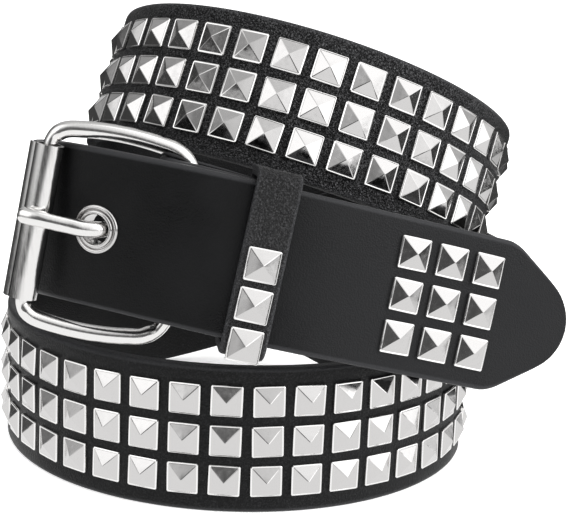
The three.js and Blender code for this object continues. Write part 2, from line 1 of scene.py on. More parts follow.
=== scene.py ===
"""Looks of a studded leather belt, buckled and coiled in three laps.

The strap's route is worked out here in millimetres, in the same way as in the solids, and then
placed in the row frame in metres.
"""
import math

import bpy
import numpy as np
from mathutils import Matrix, Vector


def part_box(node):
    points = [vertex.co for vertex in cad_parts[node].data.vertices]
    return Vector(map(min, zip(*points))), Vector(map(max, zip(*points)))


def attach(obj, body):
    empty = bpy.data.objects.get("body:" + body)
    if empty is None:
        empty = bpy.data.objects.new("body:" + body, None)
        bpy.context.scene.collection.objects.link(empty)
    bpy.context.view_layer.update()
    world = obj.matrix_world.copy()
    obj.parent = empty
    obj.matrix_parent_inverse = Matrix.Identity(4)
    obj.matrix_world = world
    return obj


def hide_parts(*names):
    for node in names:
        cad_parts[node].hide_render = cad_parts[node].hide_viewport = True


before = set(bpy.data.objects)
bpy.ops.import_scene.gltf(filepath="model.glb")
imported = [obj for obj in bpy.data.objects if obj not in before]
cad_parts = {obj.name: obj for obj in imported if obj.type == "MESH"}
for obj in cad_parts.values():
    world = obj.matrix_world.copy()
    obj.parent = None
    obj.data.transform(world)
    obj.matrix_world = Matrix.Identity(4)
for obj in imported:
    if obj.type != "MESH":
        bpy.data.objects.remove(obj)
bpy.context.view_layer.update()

MM = 0.001

# Strap
STRAP_WIDTH = 38.0
STRAP_THICKNESS = 2.8
STRAP_BEVEL = 0.7
TIP_LENGTH = 64.2
TIP_ANGLE = 33.0
TIP_NOSE_RADIUS = 13.0
SEAT_GAP = 0.3
LAYER_CLEARANCE = 0.5
FOLD_CLEARANCE = 0.75

# Studs
STUD_PITCH = 10.4
STUD_SIDE = 8.0
STUD_HEIGHT = 2.1
TIP_STUD_INSET = 25.5
KEEPER_STUD_PITCH = 9.6

# Laps
LOWER_RADIUS = 64.7
UPPER_RADIUS = 56.7
UPPER_CENTRE = (14.8, 10.5, 81.2)
UPPER_TILT = (15.8, -19.0)
MIDDLE_RADIUS = 74.2
MIDDLE_HEIGHT = 48.7
MIDDLE_TILT = (10.1, -14.1)
BUCKLE_TILT = (3.5, -3.0)

# Buckle
BAR_DIAMETER = 3.4
FRAME_LENGTH = 35.2
FRAME_ROOM = 3.1
FRAME_HEIGHT = STRAP_WIDTH + 2 * FRAME_ROOM + BAR_DIAMETER
FRAME_CORNER = 8.0
ROLLER_CORNER = 5.0
FRAME_BOW = 0.9
RAIL_SWELL = 0.34
BUCKLE_DROP = 0.71 * FRAME_ROOM
ROLLER_DIAMETER = 7.0
ROLLER_LENGTH = 37.6
PRONG_DIAMETER = 4.0
PRONG_RING = 1.8
PRONG_OVERHANG = 3.2
PRONG_LIFT = 0.8 * BUCKLE_DROP

# Holes and fastenings
EYELET_COUNT = 5
EYELET_PITCH = 25.4
EYELET_HOLE = 7.2
EYELET_FLANGE = 11.8
EYELET_TUBE = 0.9
EYELET_FLANGE_HEIGHT = 0.7
RIVET_DIAMETER = 3.2
RIVET_HEAD = 6.4
RIVET_SPREAD = 24.0
FLAP_LENGTH = 38.0

# Keeper loop
KEEPER_WIDTH = 10.6
KEEPER_WALL = 2.6
KEEPER_CLEARANCE = 0.6

# Places round the coil, as turns in degrees from the front towards the right
HEEL_TURN = -14.6
LEAN_START_TURN = -25.0
LEAN_END_TURN = 20.0
KEEPER_TURN = 2.2
EYELET_TURN = -27.5
TIP_TURN = 17.4
UPPER_COLUMN_TURN = -1.6
LOWER_COLUMN_TURN = 8.4

# Outline of the middle lap: turn, reach in shares of its radius
MIDDLE_PLAN = (
    (-270, 0.76), (-180, 0.77), (-120, 0.77), (-95, 0.79), (-75, 0.82), (-60, 0.90),
    (-50, 0.975), (-40, 1.045), (-30, 1.072), (-20, 1.060), (-10, 1.032), (0, 1.012),
    (20, 0.994), (40, 1.002), (60, 1.050), (90, 1.130), (135, 1.180), (180, 1.150),
    (240, 1.050),
)

# Crossings behind the coil: plan turns, rise turns, hump and its turns
MIDDLE_TO_UPPER = {"plan": (195, 264), "rise": (75, 226), "hump": 0.07, "swing": (195, 278)}
UPPER_TO_LOWER = {"plan": (80, 180), "rise": (95, 212), "hump": 0.0, "swing": (90, 250)}
LOWER_TO_MIDDLE = {"plan": (75, 135), "rise": (105, 240), "hump": 0.16, "swing": (125, 235)}

# How finely the route is laid
ROUTE_STEP = 0.5


def sin(turn):
    return math.sin(math.radians(turn))


def cos(turn):
    return math.cos(math.radians(turn))


def ease(x):
    t = min(1.0, max(0.0, x))
    return t * t * (3 - 2 * t)


def unit(vector):
    return vector / np.linalg.norm(vector)


def smooth_table(turn):
    rows = MIDDLE_PLAN
    k = 0
    while k < len(rows) - 2 and rows[k + 1][0] < turn:
        k += 1
    before, here = rows[max(0, k - 1)], rows[k]
    following, after = rows[k + 1], rows[min(len(rows) - 1, k + 2)]
    span = following[0] - here[0]
    t = (turn - here[0]) / span
    slope_here = (following[1] - before[1]) / max(1, following[0] - before[0]) * span
    slope_next = (after[1] - here[1]) / max(1, after[0] - here[0]) * span
    t2, t3 = t * t, t ** 3
    return ((2 * t3 - 3 * t2 + 1) * here[1] + (t3 - 2 * t2 + t) * slope_here
            + (3 * t2 - 2 * t3) * following[1] + (t3 - t2) * slope_next)


def tilt_of(roll, pitch):
    about_y = np.array([[cos(roll), 0, sin(roll)], [0, 1, 0], [-sin(roll), 0, cos(roll)]])
    about_x = np.array([[1, 0, 0], [0, cos(pitch), -sin(pitch)], [0, sin(pitch), cos(pitch)]])
    return about_y @ about_x


class Lap:
    def __init__(self, centre, tilt, reach):
        self.centre = np.array(centre, float)
        self.tilt = tilt_of(*tilt)
        self.reach = reach

    def up(self, turn):
        return self.tilt @ np.array([0, 0, 1.0])

    def point(self, turn):
        reach = self.reach(turn)
        return self.tilt @ np.array([reach * sin(turn), -reach * cos(turn), 0]) + self.centre


class MiddleLap(Lap):
    """The lap with the buckle, which leans less there, so the strap twists a little beside it."""

    def up(self, turn):
        square_up = self.tilt @ np.array([0, 0, 1.0])
        if turn > LEAN_END_TURN:
            return square_up
        buckle_up = tilt_of(*BUCKLE_TILT) @ np.array([0, 0, 1.0])
        twist = ease((turn - LEAN_START_TURN) / (LEAN_END_TURN - LEAN_START_TURN))
        return unit(buckle_up * (1 - twist) + square_up * twist)


lower_lap = Lap((0, 0, STRAP_WIDTH / 2), (0, 0), lambda turn: LOWER_RADIUS)
upper_lap = Lap(UPPER_CENTRE, UPPER_TILT, lambda turn: UPPER_RADIUS)
middle_lap = MiddleLap((0, 0, MIDDLE_HEIGHT), MIDDLE_TILT,
                       lambda turn: MIDDLE_RADIUS * smooth_table(turn))

# Depths under the outer face of the buckled end
UNDER_DEPTH = STRAP_THICKNESS + STUD_HEIGHT + LAYER_CLEARANCE
FOLD_RADIUS = BAR_DIAMETER / 2 + FOLD_CLEARANCE + STRAP_THICKNESS
HEEL_DEPTH = UNDER_DEPTH + FOLD_RADIUS
FLAP_DEPTH = UNDER_DEPTH + 2 * FOLD_RADIUS


def middle_axes(turn, depth):
    """Axes on the middle lap: columns along, up and out, and the place."""
    heading = unit(middle_lap.point(turn + 0.5) - middle_lap.point(turn - 0.5))
    up = middle_lap.up(turn)
    up = unit(up - heading * up.dot(heading))
    out = np.cross(heading, up)
    axes = np.eye(4)
    axes[:3, 0], axes[:3, 1], axes[:3, 2] = heading, up, out
    axes[:3, 3] = middle_lap.point(turn) - out * depth
    return axes


def crossing_step(crossing, start_point, end_point, start_up, end_up, turn):
    plan = ease((turn - crossing["plan"][0]) / (crossing["plan"][1] - crossing["plan"][0]))
    rise = ease((turn - crossing["rise"][0]) / (crossing["rise"][1] - crossing["rise"][0]))
    position = start_point * (1 - plan) + end_point * plan
    position[2] = start_point[2] + (end_point[2] - start_point[2]) * rise
    low, high = crossing["swing"]
    swing = (turn - low) / (high - low)
    if 0 < swing < 1:
        position[2] += crossing["hump"] * STRAP_WIDTH * math.sin(math.pi * swing) ** 2
    return position, unit(start_up * (1 - rise) + end_up * rise)


HEEL = middle_axes(HEEL_TURN, HEEL_DEPTH)


def lay_route():
    """The outer face's middle line, from the folded end round three laps to the straight tip."""
    steps = []

    def add(part, turn, position, up):
        steps.append((part, turn, position, up))

    def under(turn):
        return middle_axes(turn, UNDER_DEPTH)[:3, 3]

    flap_angle = math.degrees(FLAP_LENGTH / MIDDLE_RADIUS)
    for k in range(49):
        turn = HEEL_TURN + flap_angle * (1 - k / 48)
        add("flap", turn, middle_axes(turn, FLAP_DEPTH)[:3, 3], middle_lap.up(turn))
    for k in range(1, 24):
        side = 90 - 180 * k / 24
        local = np.array([-FOLD_RADIUS * cos(side), 0, -FOLD_RADIUS * sin(side), 1])
        add("fold", HEEL_TURN, (HEEL @ local)[:3], middle_lap.up(HEEL_TURN))
    for turn in np.arange(HEEL_TURN, 75, ROUTE_STEP):
        add("under", turn, under(turn), middle_lap.up(turn))
    for turn in np.arange(75, 285, ROUTE_STEP):
        add("rise", turn, *crossing_step(
            MIDDLE_TO_UPPER, under(turn), upper_lap.point(turn),
            middle_lap.up(turn), upper_lap.up(turn), turn))
    for turn in np.arange(-75, 80, ROUTE_STEP):
        add("upper", turn, upper_lap.point(turn), upper_lap.up(turn))
    for turn in np.arange(80, 235, ROUTE_STEP):
        add("fall", turn, *crossing_step(
            UPPER_TO_LOWER, upper_lap.point(turn), lower_lap.point(turn),
            upper_lap.up(turn), lower_lap.up(turn), turn))
    for turn in np.arange(-125, 60, ROUTE_STEP):
        add("lower", turn, lower_lap.point(turn), lower_lap.up(turn))
    for turn in np.arange(60, 262, ROUTE_STEP):
        add("return", turn, *crossing_step(
            LOWER_TO_MIDDLE, lower_lap.point(turn), middle_lap.point(turn - 360),
            lower_lap.up(turn), middle_lap.up(turn - 360), turn))
    for turn in np.arange(-98, TIP_TURN, ROUTE_STEP):
        add("over", turn, middle_lap.point(turn), middle_lap.up(turn))
    start = middle_lap.point(TIP_TURN)
    ahead = unit(middle_lap.point(TIP_TURN + 0.5) - middle_lap.point(TIP_TURN - 0.5))
    for k in range(65):
        further = TIP_TURN + math.degrees(TIP_LENGTH * k / 64 / MIDDLE_RADIUS)
        add("tip", further, start + ahead * TIP_LENGTH * k / 64, middle_lap.up(further))
    return steps


ROUTE = lay_route()
ROUTE_POINTS = np.array([step[2] for step in ROUTE])
ROUTE_UPS = np.array([step[3] for step in ROUTE])
ROUTE_AT = np.concatenate([[0], np.cumsum(np.linalg.norm(np.diff(ROUTE_POINTS, axis=0), axis=1))])
ROUTE_LENGTH = ROUTE_AT[-1]
ahead = np.vstack([ROUTE_POINTS[1:], ROUTE_POINTS[-1:]])
behind = np.vstack([ROUTE_POINTS[:1], ROUTE_POINTS[:-1]])
ROUTE_ALONG = (ahead - behind) / np.linalg.norm(ahead - behind, axis=1)[:, None]


def frames_at(distances):
    """Position, along, up and out at each distance, as arrays of rows."""
    d = np.clip(np.asarray(distances, float), 0, ROUTE_LENGTH)

    def spread(rows):
        return np.stack([np.interp(d, ROUTE_AT, rows[:, j]) for j in range(3)], axis=-1)

    position, along, up = spread(ROUTE_POINTS), spread(ROUTE_ALONG), spread(ROUTE_UPS)
    along /= np.linalg.norm(along, axis=-1)[..., None]
    up -= along * (up * along).sum(-1)[..., None]
    up /= np.linalg.norm(up, axis=-1)[..., None]
    return position, along, up, np.cross(along, up)


def distance_to(part, turn):
    rows = [(step[1], at) for step, at in zip(ROUTE, ROUTE_AT) if step[0] == part]
    turns = [row[0] for row in rows]
    places = [row[1] for row in rows]
    if turns[0] > turns[-1]:
        turns, places = turns[::-1], places[::-1]
    return float(np.interp(turn, turns, places))


# The buckle sits back in the fold and hangs a little low on the strap
BAR_CORNER = STRAP_WIDTH / 2 + BUCKLE_DROP - (FRAME_HEIGHT / 2 - FRAME_CORNER)
BAR_INSET = FRAME_CORNER - math.sqrt(FRAME_CORNER ** 2 - BAR_CORNER ** 2) + SEAT_GAP

KEEPER_UNDER = distance_to("under", KEEPER_TURN)
KEEPER_OVER = distance_to("over", KEEPER_TURN)
EYELET_AT = distance_to("over", EYELET_TURN)
EYELETS = [EYELET_AT - k * EYELET_PITCH for k in range(EYELET_COUNT)]
RIVET_FROM = distance_to("under", HEEL_TURN) + BAR_INSET + BAR_DIAMETER / 2
RIVET_AT = (RIVET_FROM + KEEPER_UNDER - KEEPER_WIDTH / 2) / 2


def stud_columns():
    first = KEEPER_UNDER + KEEPER_WIDTH / 2 + STUD_PITCH
    last = EYELET_AT - (EYELET_COUNT - 1) * EYELET_PITCH - EYELET_FLANGE / 2 - STUD_PITCH
    fixed = [first, distance_to("upper", UPPER_COLUMN_TURN),
             distance_to("lower", LOWER_COLUMN_TURN), last]
    columns = [first]
    for start, end in zip(fixed, fixed[1:]):
        count = round((end - start) / STUD_PITCH)
        columns += [start + (end - start) * n / count for n in range(1, count + 1)]
    return columns


COLUMNS = stud_columns()
ROWS = (-STUD_PITCH, 0.0, STUD_PITCH)
TIP_COLUMNS = [ROUTE_LENGTH - TIP_STUD_INSET - (2 - k) * STUD_PITCH for k in range(3)]


def on_strap(points, distance, depth=0.0, across=0.0):
    """Bends rows of (along, across, out) with the strap at that distance."""
    points = np.asarray(points, float)
    position, _, up, out = frames_at(distance + points[:, 0])
    return position + up * (across + points[:, 1])[:, None] + out * (depth + points[:, 2])[:, None]


# The route is laid about its own centre; one CAD stud tells how far the solids are shifted from it
def find_shift():
    side, rim = STUD_SIDE / 2, STUD_SIDE / 2 - 0.25
    local = [(x, y, SEAT_GAP) for x in (-side, side) for y in (-side, side)]
    local += [(x, y, SEAT_GAP + 0.5) for x in (-rim, rim) for y in (-rim, rim)]
    local.append((0, 0, SEAT_GAP + STUD_HEIGHT))
    here = on_strap(local, TIP_COLUMNS[1])
    low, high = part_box("tip_stud_5")
    middle = np.array(low + high) / 2
    return middle - (here.min(0) + here.max(0)) / 2 * MM


SHIFT = find_shift()


def make_piece(name, points, faces, material, replaced=(), smooth_angle=30.0):
    """A mesh in the row frame from points in route millimetres."""
    mesh = bpy.data.meshes.new(name)
    placed = np.asarray(points, float) * MM + SHIFT
    mesh.from_pydata([tuple(p) for p in placed], [], [tuple(int(i) for i in f) for f in faces])
    mesh.validate()
    mesh.update()
    mesh.polygons.foreach_set("use_smooth", [True] * len(mesh.polygons))
    mesh.set_sharp_from_angle(angle=math.radians(smooth_angle))
    piece = bpy.data.objects.new(name, mesh)
    bpy.context.scene.collection.objects.link(piece)
    mesh.materials.append(material)
    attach(piece, "root")
    if replaced:
        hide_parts(*replaced)
    return piece


def new_material(name):
    material = bpy.data.materials.new(name)
    material.use_nodes = True
    tree = material.node_tree
    shader = tree.nodes["Principled BSDF"]
    return material, tree, shader


def add_node(tree, kind, **values):
    node = tree.nodes.new(kind)
    for key, value in values.items():
        if key in node.inputs:
            node.inputs[key].default_value = value
        else:
            setattr(node, key, value)
    return node


def leather_material(name, tone, rough_low, rough_high, grain_scale, grain_depth, painted_glint_share=0):
    material, tree, shader = new_material(name)
    link = tree.links.new
    place = add_node(tree, "ShaderNodeTexCoord")
    grain = add_node(tree, "ShaderNodeTexVoronoi", feature="F1")
    grain.inputs["Scale"].default_value = grain_scale
    pores = add_node(tree, "ShaderNodeTexNoise")
    pores.inputs["Scale"].default_value = grain_scale * 1.7
    pores.inputs["Detail"].default_value = 5.0
    cloud = add_node(tree, "ShaderNodeTexNoise")
    cloud.inputs["Scale"].default_value = 55.0
    cloud.inputs["Detail"].default_value = 4.0
    for texture in (grain, pores, cloud):
        link(place.outputs["Object"], texture.inputs["Vector"])
    tint = add_node(tree, "ShaderNodeValToRGB")
    tint.color_ramp.elements[0].position = 0.3
    tint.color_ramp.elements[0].color = [c * 0.7 for c in tone] + [1]
    tint.color_ramp.elements[1].position = 0.75
    tint.color_ramp.elements[1].color = [c * 1.5 for c in tone] + [1]
    link(cloud.outputs["Fac"], tint.inputs["Fac"])
    # Painted light: the 'edge' attribute lightens the base colour, as a painted highlight along bevelled edges and,
    # on the strap, painted light towards the tip.
    painted_light = add_node(tree, "ShaderNodeAttribute", attribute_name="edge")
    painted_highlight_mix = add_node(tree, "ShaderNodeMix", data_type="RGBA", blend_type="MIX")
    painted_highlight_mix.inputs["B"].default_value = (0.022, 0.0223, 0.024, 1)
    link(painted_light.outputs["Fac"], painted_highlight_mix.inputs["Factor"])
    link(tint.outputs["Color"], painted_highlight_mix.inputs["A"])
    # Painted glints: light grey specks mixed into the base colour stand for sparkle off the grain; their share comes
    # from the 'grain' attribute or from the given share.
    glint_noise = add_node(tree, "ShaderNodeTexNoise")
    glint_noise.inputs["Scale"].default_value = 2200.0
    glint_noise.inputs["Detail"].default_value = 3.0
    glint_noise.inputs["Roughness"].default_value = 0.75
    link(place.outputs["Object"], glint_noise.inputs["Vector"])
    picked = add_node(tree, "ShaderNodeMapRange")
    picked.inputs["From Min"].default_value = 0.48
    picked.inputs["From Max"].default_value = 0.72
    link(glint_noise.outputs["Fac"], picked.inputs["Value"])
    painted_glint_mask = add_node(tree, "ShaderNodeMath", operation="MULTIPLY")
    painted_glint_mask.inputs[1].default_value = 1.0
    painted_glints = add_node(tree, "ShaderNodeMix", data_type="RGBA", blend_type="MIX")
    painted_glints.inputs["B"].default_value = (0.11, 0.11, 0.114, 1)
    link(picked.outputs["Result"], painted_glint_mask.inputs[0])
    link(painted_glint_mask.outputs["Value"], painted_glints.inputs["Factor"])
    link(painted_highlight_mix.outputs["Result"], painted_glints.inputs["A"])
    link(painted_glints.outputs["Result"], shader.inputs["Base Color"])
    gloss = add_node(tree, "ShaderNodeMapRange")
    gloss.inputs["To Min"].default_value = rough_low
    gloss.inputs["To Max"].default_value = rough_high
    mottle = add_node(tree, "ShaderNodeMix", data_type="FLOAT")
    mottle.inputs["Factor"].default_value = 0.6
    link(pores.outputs["Fac"], mottle.inputs["A"])
    link(cloud.outputs["Fac"], mottle.inputs["B"])
    gloss.inputs["From Min"].default_value = 0.35
    gloss.inputs["From Max"].default_value = 0.65
    link(mottle.outputs["Result"], gloss.inputs["Value"])
    link(gloss.outputs["Result"], shader.inputs["Roughness"])
    both = add_node(tree, "ShaderNodeMath", operation="ADD")
    half = add_node(tree, "ShaderNodeMath", operation="MULTIPLY")
    half.inputs[1].default_value = 0.7
    link(pores.outputs["Fac"], half.inputs[0])
    link(grain.outputs["Distance"], both.inputs[0])
    link(half.outputs["Value"], both.inputs[1])
    bump = add_node(tree, "ShaderNodeBump")
    bump.inputs["Distance"].default_value = 0.0005
    # The 'grain' attribute sets both the grain's bump depth and how many painted glints show.
    grain_and_glint_mask = add_node(tree, "ShaderNodeAttribute", attribute_name="grain")
    if painted_glint_share:
        painted_glint_mask.inputs[1].default_value = painted_glint_share
    else:
        link(grain_and_glint_mask.outputs["Fac"], painted_glint_mask.inputs[1])
    depth = add_node(tree, "ShaderNodeMapRange")
    depth.inputs["To Min"].default_value = grain_depth[0]
    depth.inputs["To Max"].default_value = grain_depth[1]
    link(grain_and_glint_mask.outputs["Fac"], depth.inputs["Value"])
    link(depth.outputs["Result"], bump.inputs["Strength"])
    link(both.outputs["Value"], bump.inputs["Height"])
    link(bump.outputs["Normal"], shader.inputs["Normal"])
    shader.inputs["Specular IOR Level"].default_value = 0.19
    return material


def polished_material():
    material, tree, shader = new_material("polished_nickel_look")
    link = tree.links.new
    place = add_node(tree, "ShaderNodeTexCoord")
    wave = add_node(tree, "ShaderNodeTexNoise")
    wave.inputs["Scale"].default_value = 260.0
    wave.inputs["Detail"].default_value = 2.0
    smudge = add_node(tree, "ShaderNodeTexNoise")
    smudge.inputs["Scale"].default_value = 900.0
    smudge.inputs["Detail"].default_value = 3.0
    link(place.outputs["Object"], wave.inputs["Vector"])
    link(place.outputs["Object"], smudge.inputs["Vector"])
    gloss = add_node(tree, "ShaderNodeMapRange")
    gloss.inputs["From Min"].default_value = 0.3
    gloss.inputs["From Max"].default_value = 0.7
    gloss.inputs["To Min"].default_value = 0.07
    gloss.inputs["To Max"].default_value = 0.2
    link(smudge.outputs["Fac"], gloss.inputs["Value"])
    link(gloss.outputs["Result"], shader.inputs["Roughness"])
    bump = add_node(tree, "ShaderNodeBump")
    bump.inputs["Strength"].default_value = 0.05
    bump.inputs["Distance"].default_value = 0.0006
    link(wave.outputs["Fac"], bump.inputs["Height"])
    link(bump.outputs["Normal"], shader.inputs["Normal"])
    # Painted highlight: the studs' rims get a brighter base colour than their facets.
    rim = add_node(tree, "ShaderNodeAttribute", attribute_name="rim")
    tone = add_node(tree, "ShaderNodeMix", data_type="RGBA")
    tone.inputs["A"].default_value = (0.67, 0.66, 0.655, 1)
    tone.inputs["B"].default_value = (0.98, 0.97, 0.96, 1)
    link(rim.outputs["Fac"], tone.inputs["Factor"])
    link(tone.outputs["Result"], shader.inputs["Base Color"])
    shader.inputs["Metallic"].default_value = 1.0
    return material


def brushed_material():
    material, tree, shader = new_material("brushed_nickel_look")
    link = tree.links.new
    place = add_node(tree, "ShaderNodeTexCoord")
    stretch = add_node(tree, "ShaderNodeMapping")
    stretch.inputs["Scale"].default_value = (1, 1, 0.06)
    lines = add_node(tree, "ShaderNodeTexNoise")
    lines.inputs["Scale"].default_value = 2600.0
    lines.inputs["Detail"].default_value = 2.0
    link(place.outputs["Object"], stretch.inputs["Vector"])
    link(stretch.outputs["Vector"], lines.inputs["Vector"])
    gloss = add_node(tree, "ShaderNodeMapRange")
    gloss.inputs["From Min"].default_value = 0.3
    gloss.inputs["From Max"].default_value = 0.7
    gloss.inputs["To Min"].default_value = 0.1
    gloss.inputs["To Max"].default_value = 0.22
    link(lines.outputs["Fac"], gloss.inputs["Value"])
    link(gloss.outputs["Result"], shader.inputs["Roughness"])
    bump = add_node(tree, "ShaderNodeBump")
    bump.inputs["Strength"].default_value = 0.12
    bump.inputs["Distance"].default_value = 0.0001
    link(lines.outputs["Fac"], bump.inputs["Height"])
    link(bump.outputs["Normal"], shader.inputs["Normal"])
    # Painted shade: the 'shade' attribute darkens the metal nearly to black.
    groove = add_node(tree, "ShaderNodeAttribute", attribute_name="shade")
    tone = add_node(tree, "ShaderNodeMix", data_type="RGBA")
    tone.inputs["A"].default_value = (0.88, 0.87, 0.86, 1)
    tone.inputs["B"].default_value = (0.03, 0.03, 0.03, 1)
    link(groove.outputs["Fac"], tone.inputs["Factor"])
    link(tone.outputs["Result"], shader.inputs["Base Color"])
    shader.inputs["Metallic"].default_value = 1.0
    return material


LEATHER = leather_material("black_leather_look", (0.0024, 0.0025, 0.0028), 0.24, 0.56, 2300.0, (0.2, 1.0))
KEEPER_LEATHER = leather_material("keeper_leather_look", (0.009, 0.009, 0.0095), 0.34, 0.5, 1700.0, (0.9, 0.9),
                                  0.45)
POLISHED = polished_material()
BRUSHED = brushed_material()


def sharp_half_width(left):
    nose = TIP_NOSE_RADIUS * (1 - sin(TIP_ANGLE))
    slope = math.tan(math.radians(TIP_ANGLE))
    if left > nose:
        return min(STRAP_WIDTH / 2, TIP_NOSE_RADIUS * cos(TIP_ANGLE) + (left - nose) * slope)
    return math.sqrt(max(0.3, left * (2 * TIP_NOSE_RADIUS - left)))


def half_width_at(distance):
    """Half the strap's width, with the tip's shoulders softly rounded."""
    left = ROUTE_LENGTH - distance
    reach = min(2.6, 0.4 * left)
    return float(np.mean([sharp_half_width(left + step) for step in np.linspace(-reach, reach, 21)]))


def strap_section():
    """Across in shares of the half width or millimetres from the edge, depth, and painted edge highlight."""
    edge = STRAP_WIDTH / 2
    inner = edge - 1.3
    rows = []
    for k in range(27):
        rows.append((inner * (-1 + 2 * k / 26), 0.0, 0.0))
    low_side = [(-edge + 0.25, -2.8, 0.5), (-edge, -2.5, 1), (-edge, -1.0, 1), (-edge + 0.12, -0.55, 1),
                (-edge + 0.4, -0.2, 1), (-edge + 0.85, -0.03, 0.8)]
    high_side = [(-a, d, w) for a, d, w in reversed(low_side)]
    back = [(inner * (1 - 2 * k / 8), -STRAP_THICKNESS, 0.0) for k in range(9)]
    return low_side + rows + high_side + back


def build_strap():
    section = strap_section()
    across = np.array([row[0] for row in section])
    depth = np.array([row[1] for row in section])
    edge_highlight = np.array([row[2] for row in section])
    fold_from = ROUTE_AT[[step[0] for step in ROUTE].index("fold")]
    fold_to = ROUTE_AT[[step[0] for step in ROUTE].index("under")]
    stations = list(np.arange(0, fold_from, 1.3)) + list(np.arange(fold_from, fold_to, 0.5))
    stations += list(np.arange(fold_to, ROUTE_LENGTH - 24, 1.3))
    stations += [ROUTE_LENGTH - 24 + 24 * (1 - (1 - k / 48) ** 2) for k in range(49)]
    stations = np.array(stations)
    position, _, up, out = frames_at(stations)
    share = np.array([half_width_at(at) for at in stations]) / (STRAP_WIDTH / 2)
    nearest = np.min(np.abs(stations[:, None] - np.array(COLUMNS)[None, :]), axis=1)
    sideways = np.min(np.abs(across[:, None] - np.array(ROWS)[None, :]), axis=1)
    beyond = np.maximum(nearest[:, None], sideways[None, :]) - STUD_SIDE / 2
    dip = np.where(depth[None, :] > -0.1, -0.28 * np.exp(-(np.maximum(0, beyond) / 0.9) ** 2), 0)
    ripple = 0.05 * np.sin(stations / 7.3)[:, None] * np.cos(across / 5.1 + 1)[None, :]
    ripple = np.where(depth[None, :] > -0.1, ripple, 0)
    level = depth[None, :] + dip + ripple
    spread = across[None, :] * share[:, None]
    points = (position[:, None, :] + up[:, None, :] * spread[..., None] + out[:, None, :] * level[..., None])
    count = len(section)
    faces = []
    for k in range(len(stations) - 1):
        for j in range(count):
            after = (j + 1) % count
            faces.append((k * count + j, (k + 1) * count + j, (k + 1) * count + after, k * count + after))
    faces.append(tuple(range(count)))
    faces.append(tuple(range(len(stations) * count - 1, (len(stations) - 1) * count - 1, -1)))
    strap = make_piece("strap_leather", points.reshape(-1, 3), faces, LEATHER, ("strap",), 40)
    # The 'edge' attribute carries painted light: a painted highlight on the bevelled edges plus the paler tip.
    edge = strap.data.attributes.new("edge", "FLOAT", "POINT")
    # Painted light: the leather grows paler over the last stretch towards the tip, standing for light falling there.
    painted_tip_light = np.interp(stations, [ROUTE_LENGTH - 110, ROUTE_LENGTH - 50], [0, 0.36])
    painted_light = np.minimum(1, np.asarray(edge_highlight)[None, :] + painted_tip_light[:, None])
    edge.data.foreach_set("value", painted_light.reshape(-1).astype(np.float32))
    # The 'grain' attribute: deeper grain and painted glints over the studded stretch, strongest along the upper lap.
    grain_and_glint_share = np.interp(stations, [COLUMNS[0] - 20, COLUMNS[0], COLUMNS[-1], COLUMNS[-1] + 20], [0, 1, 1, 0])
    grain_and_glint_share = grain_and_glint_share * np.interp(stations, [405, 440, 530, 590], [0.15, 1, 1, 0.15])
    grain = strap.data.attributes.new("grain", "FLOAT", "POINT")
    grain.data.foreach_set("value", np.repeat(grain_and_glint_share, count).astype(np.float32))
    return strap


def cut_holes(strap):
    """Eyelet holes, rivet holes and the prong's slot."""
    cutters = []

    def add_cutter(points, faces):
        mesh = bpy.data.meshes.new("cutter")
        placed = np.asarray(points, float) * MM + SHIFT
        mesh.from_pydata([tuple(p) for p in placed], [], faces)
        cutter = bpy.data.objects.new("cutter", mesh)
        bpy.context.scene.collection.objects.link(cutter)
        cutters.append(cutter)

    def add_round(distance, across, radius, low, high, sides=28):
        ring = [(radius * math.cos(2 * math.pi * n / sides), radius * math.sin(2 * math.pi * n / sides))
                for n in range(sides)]
        points = [(x, y, low) for x, y in ring] + [(x, y, high) for x, y in ring]
        faces = [(n, (n + 1) % sides, sides + (n + 1) % sides, sides + n) for n in range(sides)]
        faces += [tuple(range(sides - 1, -1, -1)), tuple(range(sides, 2 * sides))]
        add_cutter(on_strap(points, distance, 0, across), faces)

    for at in EYELETS:
        add_round(at, 0, EYELET_HOLE / 2 + EYELET_TUBE + 0.15, -STRAP_THICKNESS - 1.5, 1.5)
    for across in (-RIVET_SPREAD / 2, RIVET_SPREAD / 2):
        add_round(RIVET_AT, across, RIVET_DIAMETER / 2 + SEAT_GAP, -FLAP_DEPTH + UNDER_DEPTH - 1, 1)
    slot_from = -FOLD_RADIUS - 3
    slot_to = BAR_INSET + BAR_DIAMETER / 2 + PRONG_RING + 1
    low_y = -BUCKLE_DROP / 2 - (PRONG_DIAMETER + 2 + BUCKLE_DROP) / 2
    high_y = -BUCKLE_DROP / 2 + (PRONG_DIAMETER + 2 + BUCKLE_DROP) / 2
    corners = [(x, y, z, 1) for x in (slot_from, slot_to) for y in (low_y, high_y)
               for z in (-FOLD_RADIUS - 1, FOLD_RADIUS + 1)]
    points = (HEEL @ np.array(corners).T).T[:, :3]
    add_cutter(points, [(0, 1, 3, 2), (4, 6, 7, 5), (0, 4, 5, 1), (2, 3, 7, 6), (0, 2, 6, 4), (1, 5, 7, 3)])
    for cutter in cutters:
        modifier = strap.modifiers.new("hole", "BOOLEAN")
        modifier.operation = "DIFFERENCE"
        modifier.solver = "EXACT"
        modifier.object = cutter
        bpy.context.view_layer.objects.active = strap
        bpy.ops.object.modifier_apply(modifier=modifier.name)
        mesh = cutter.data
        bpy.data.objects.remove(cutter)
        bpy.data.meshes.remove(mesh)


# Stud outline: half side, height, corner chamfer
STUD_RINGS = (
    (3.97, -0.35, 0.30), (4.0, 0.20, 0.30), (3.95, 0.36, 0.28), (3.80, 0.45, 0.25),
    (3.62, 0.41, 0.20), (3.50, 0.44, 0.17), (1.9, 1.20, 0.17), (0.26, 2.0, 0.16),
)


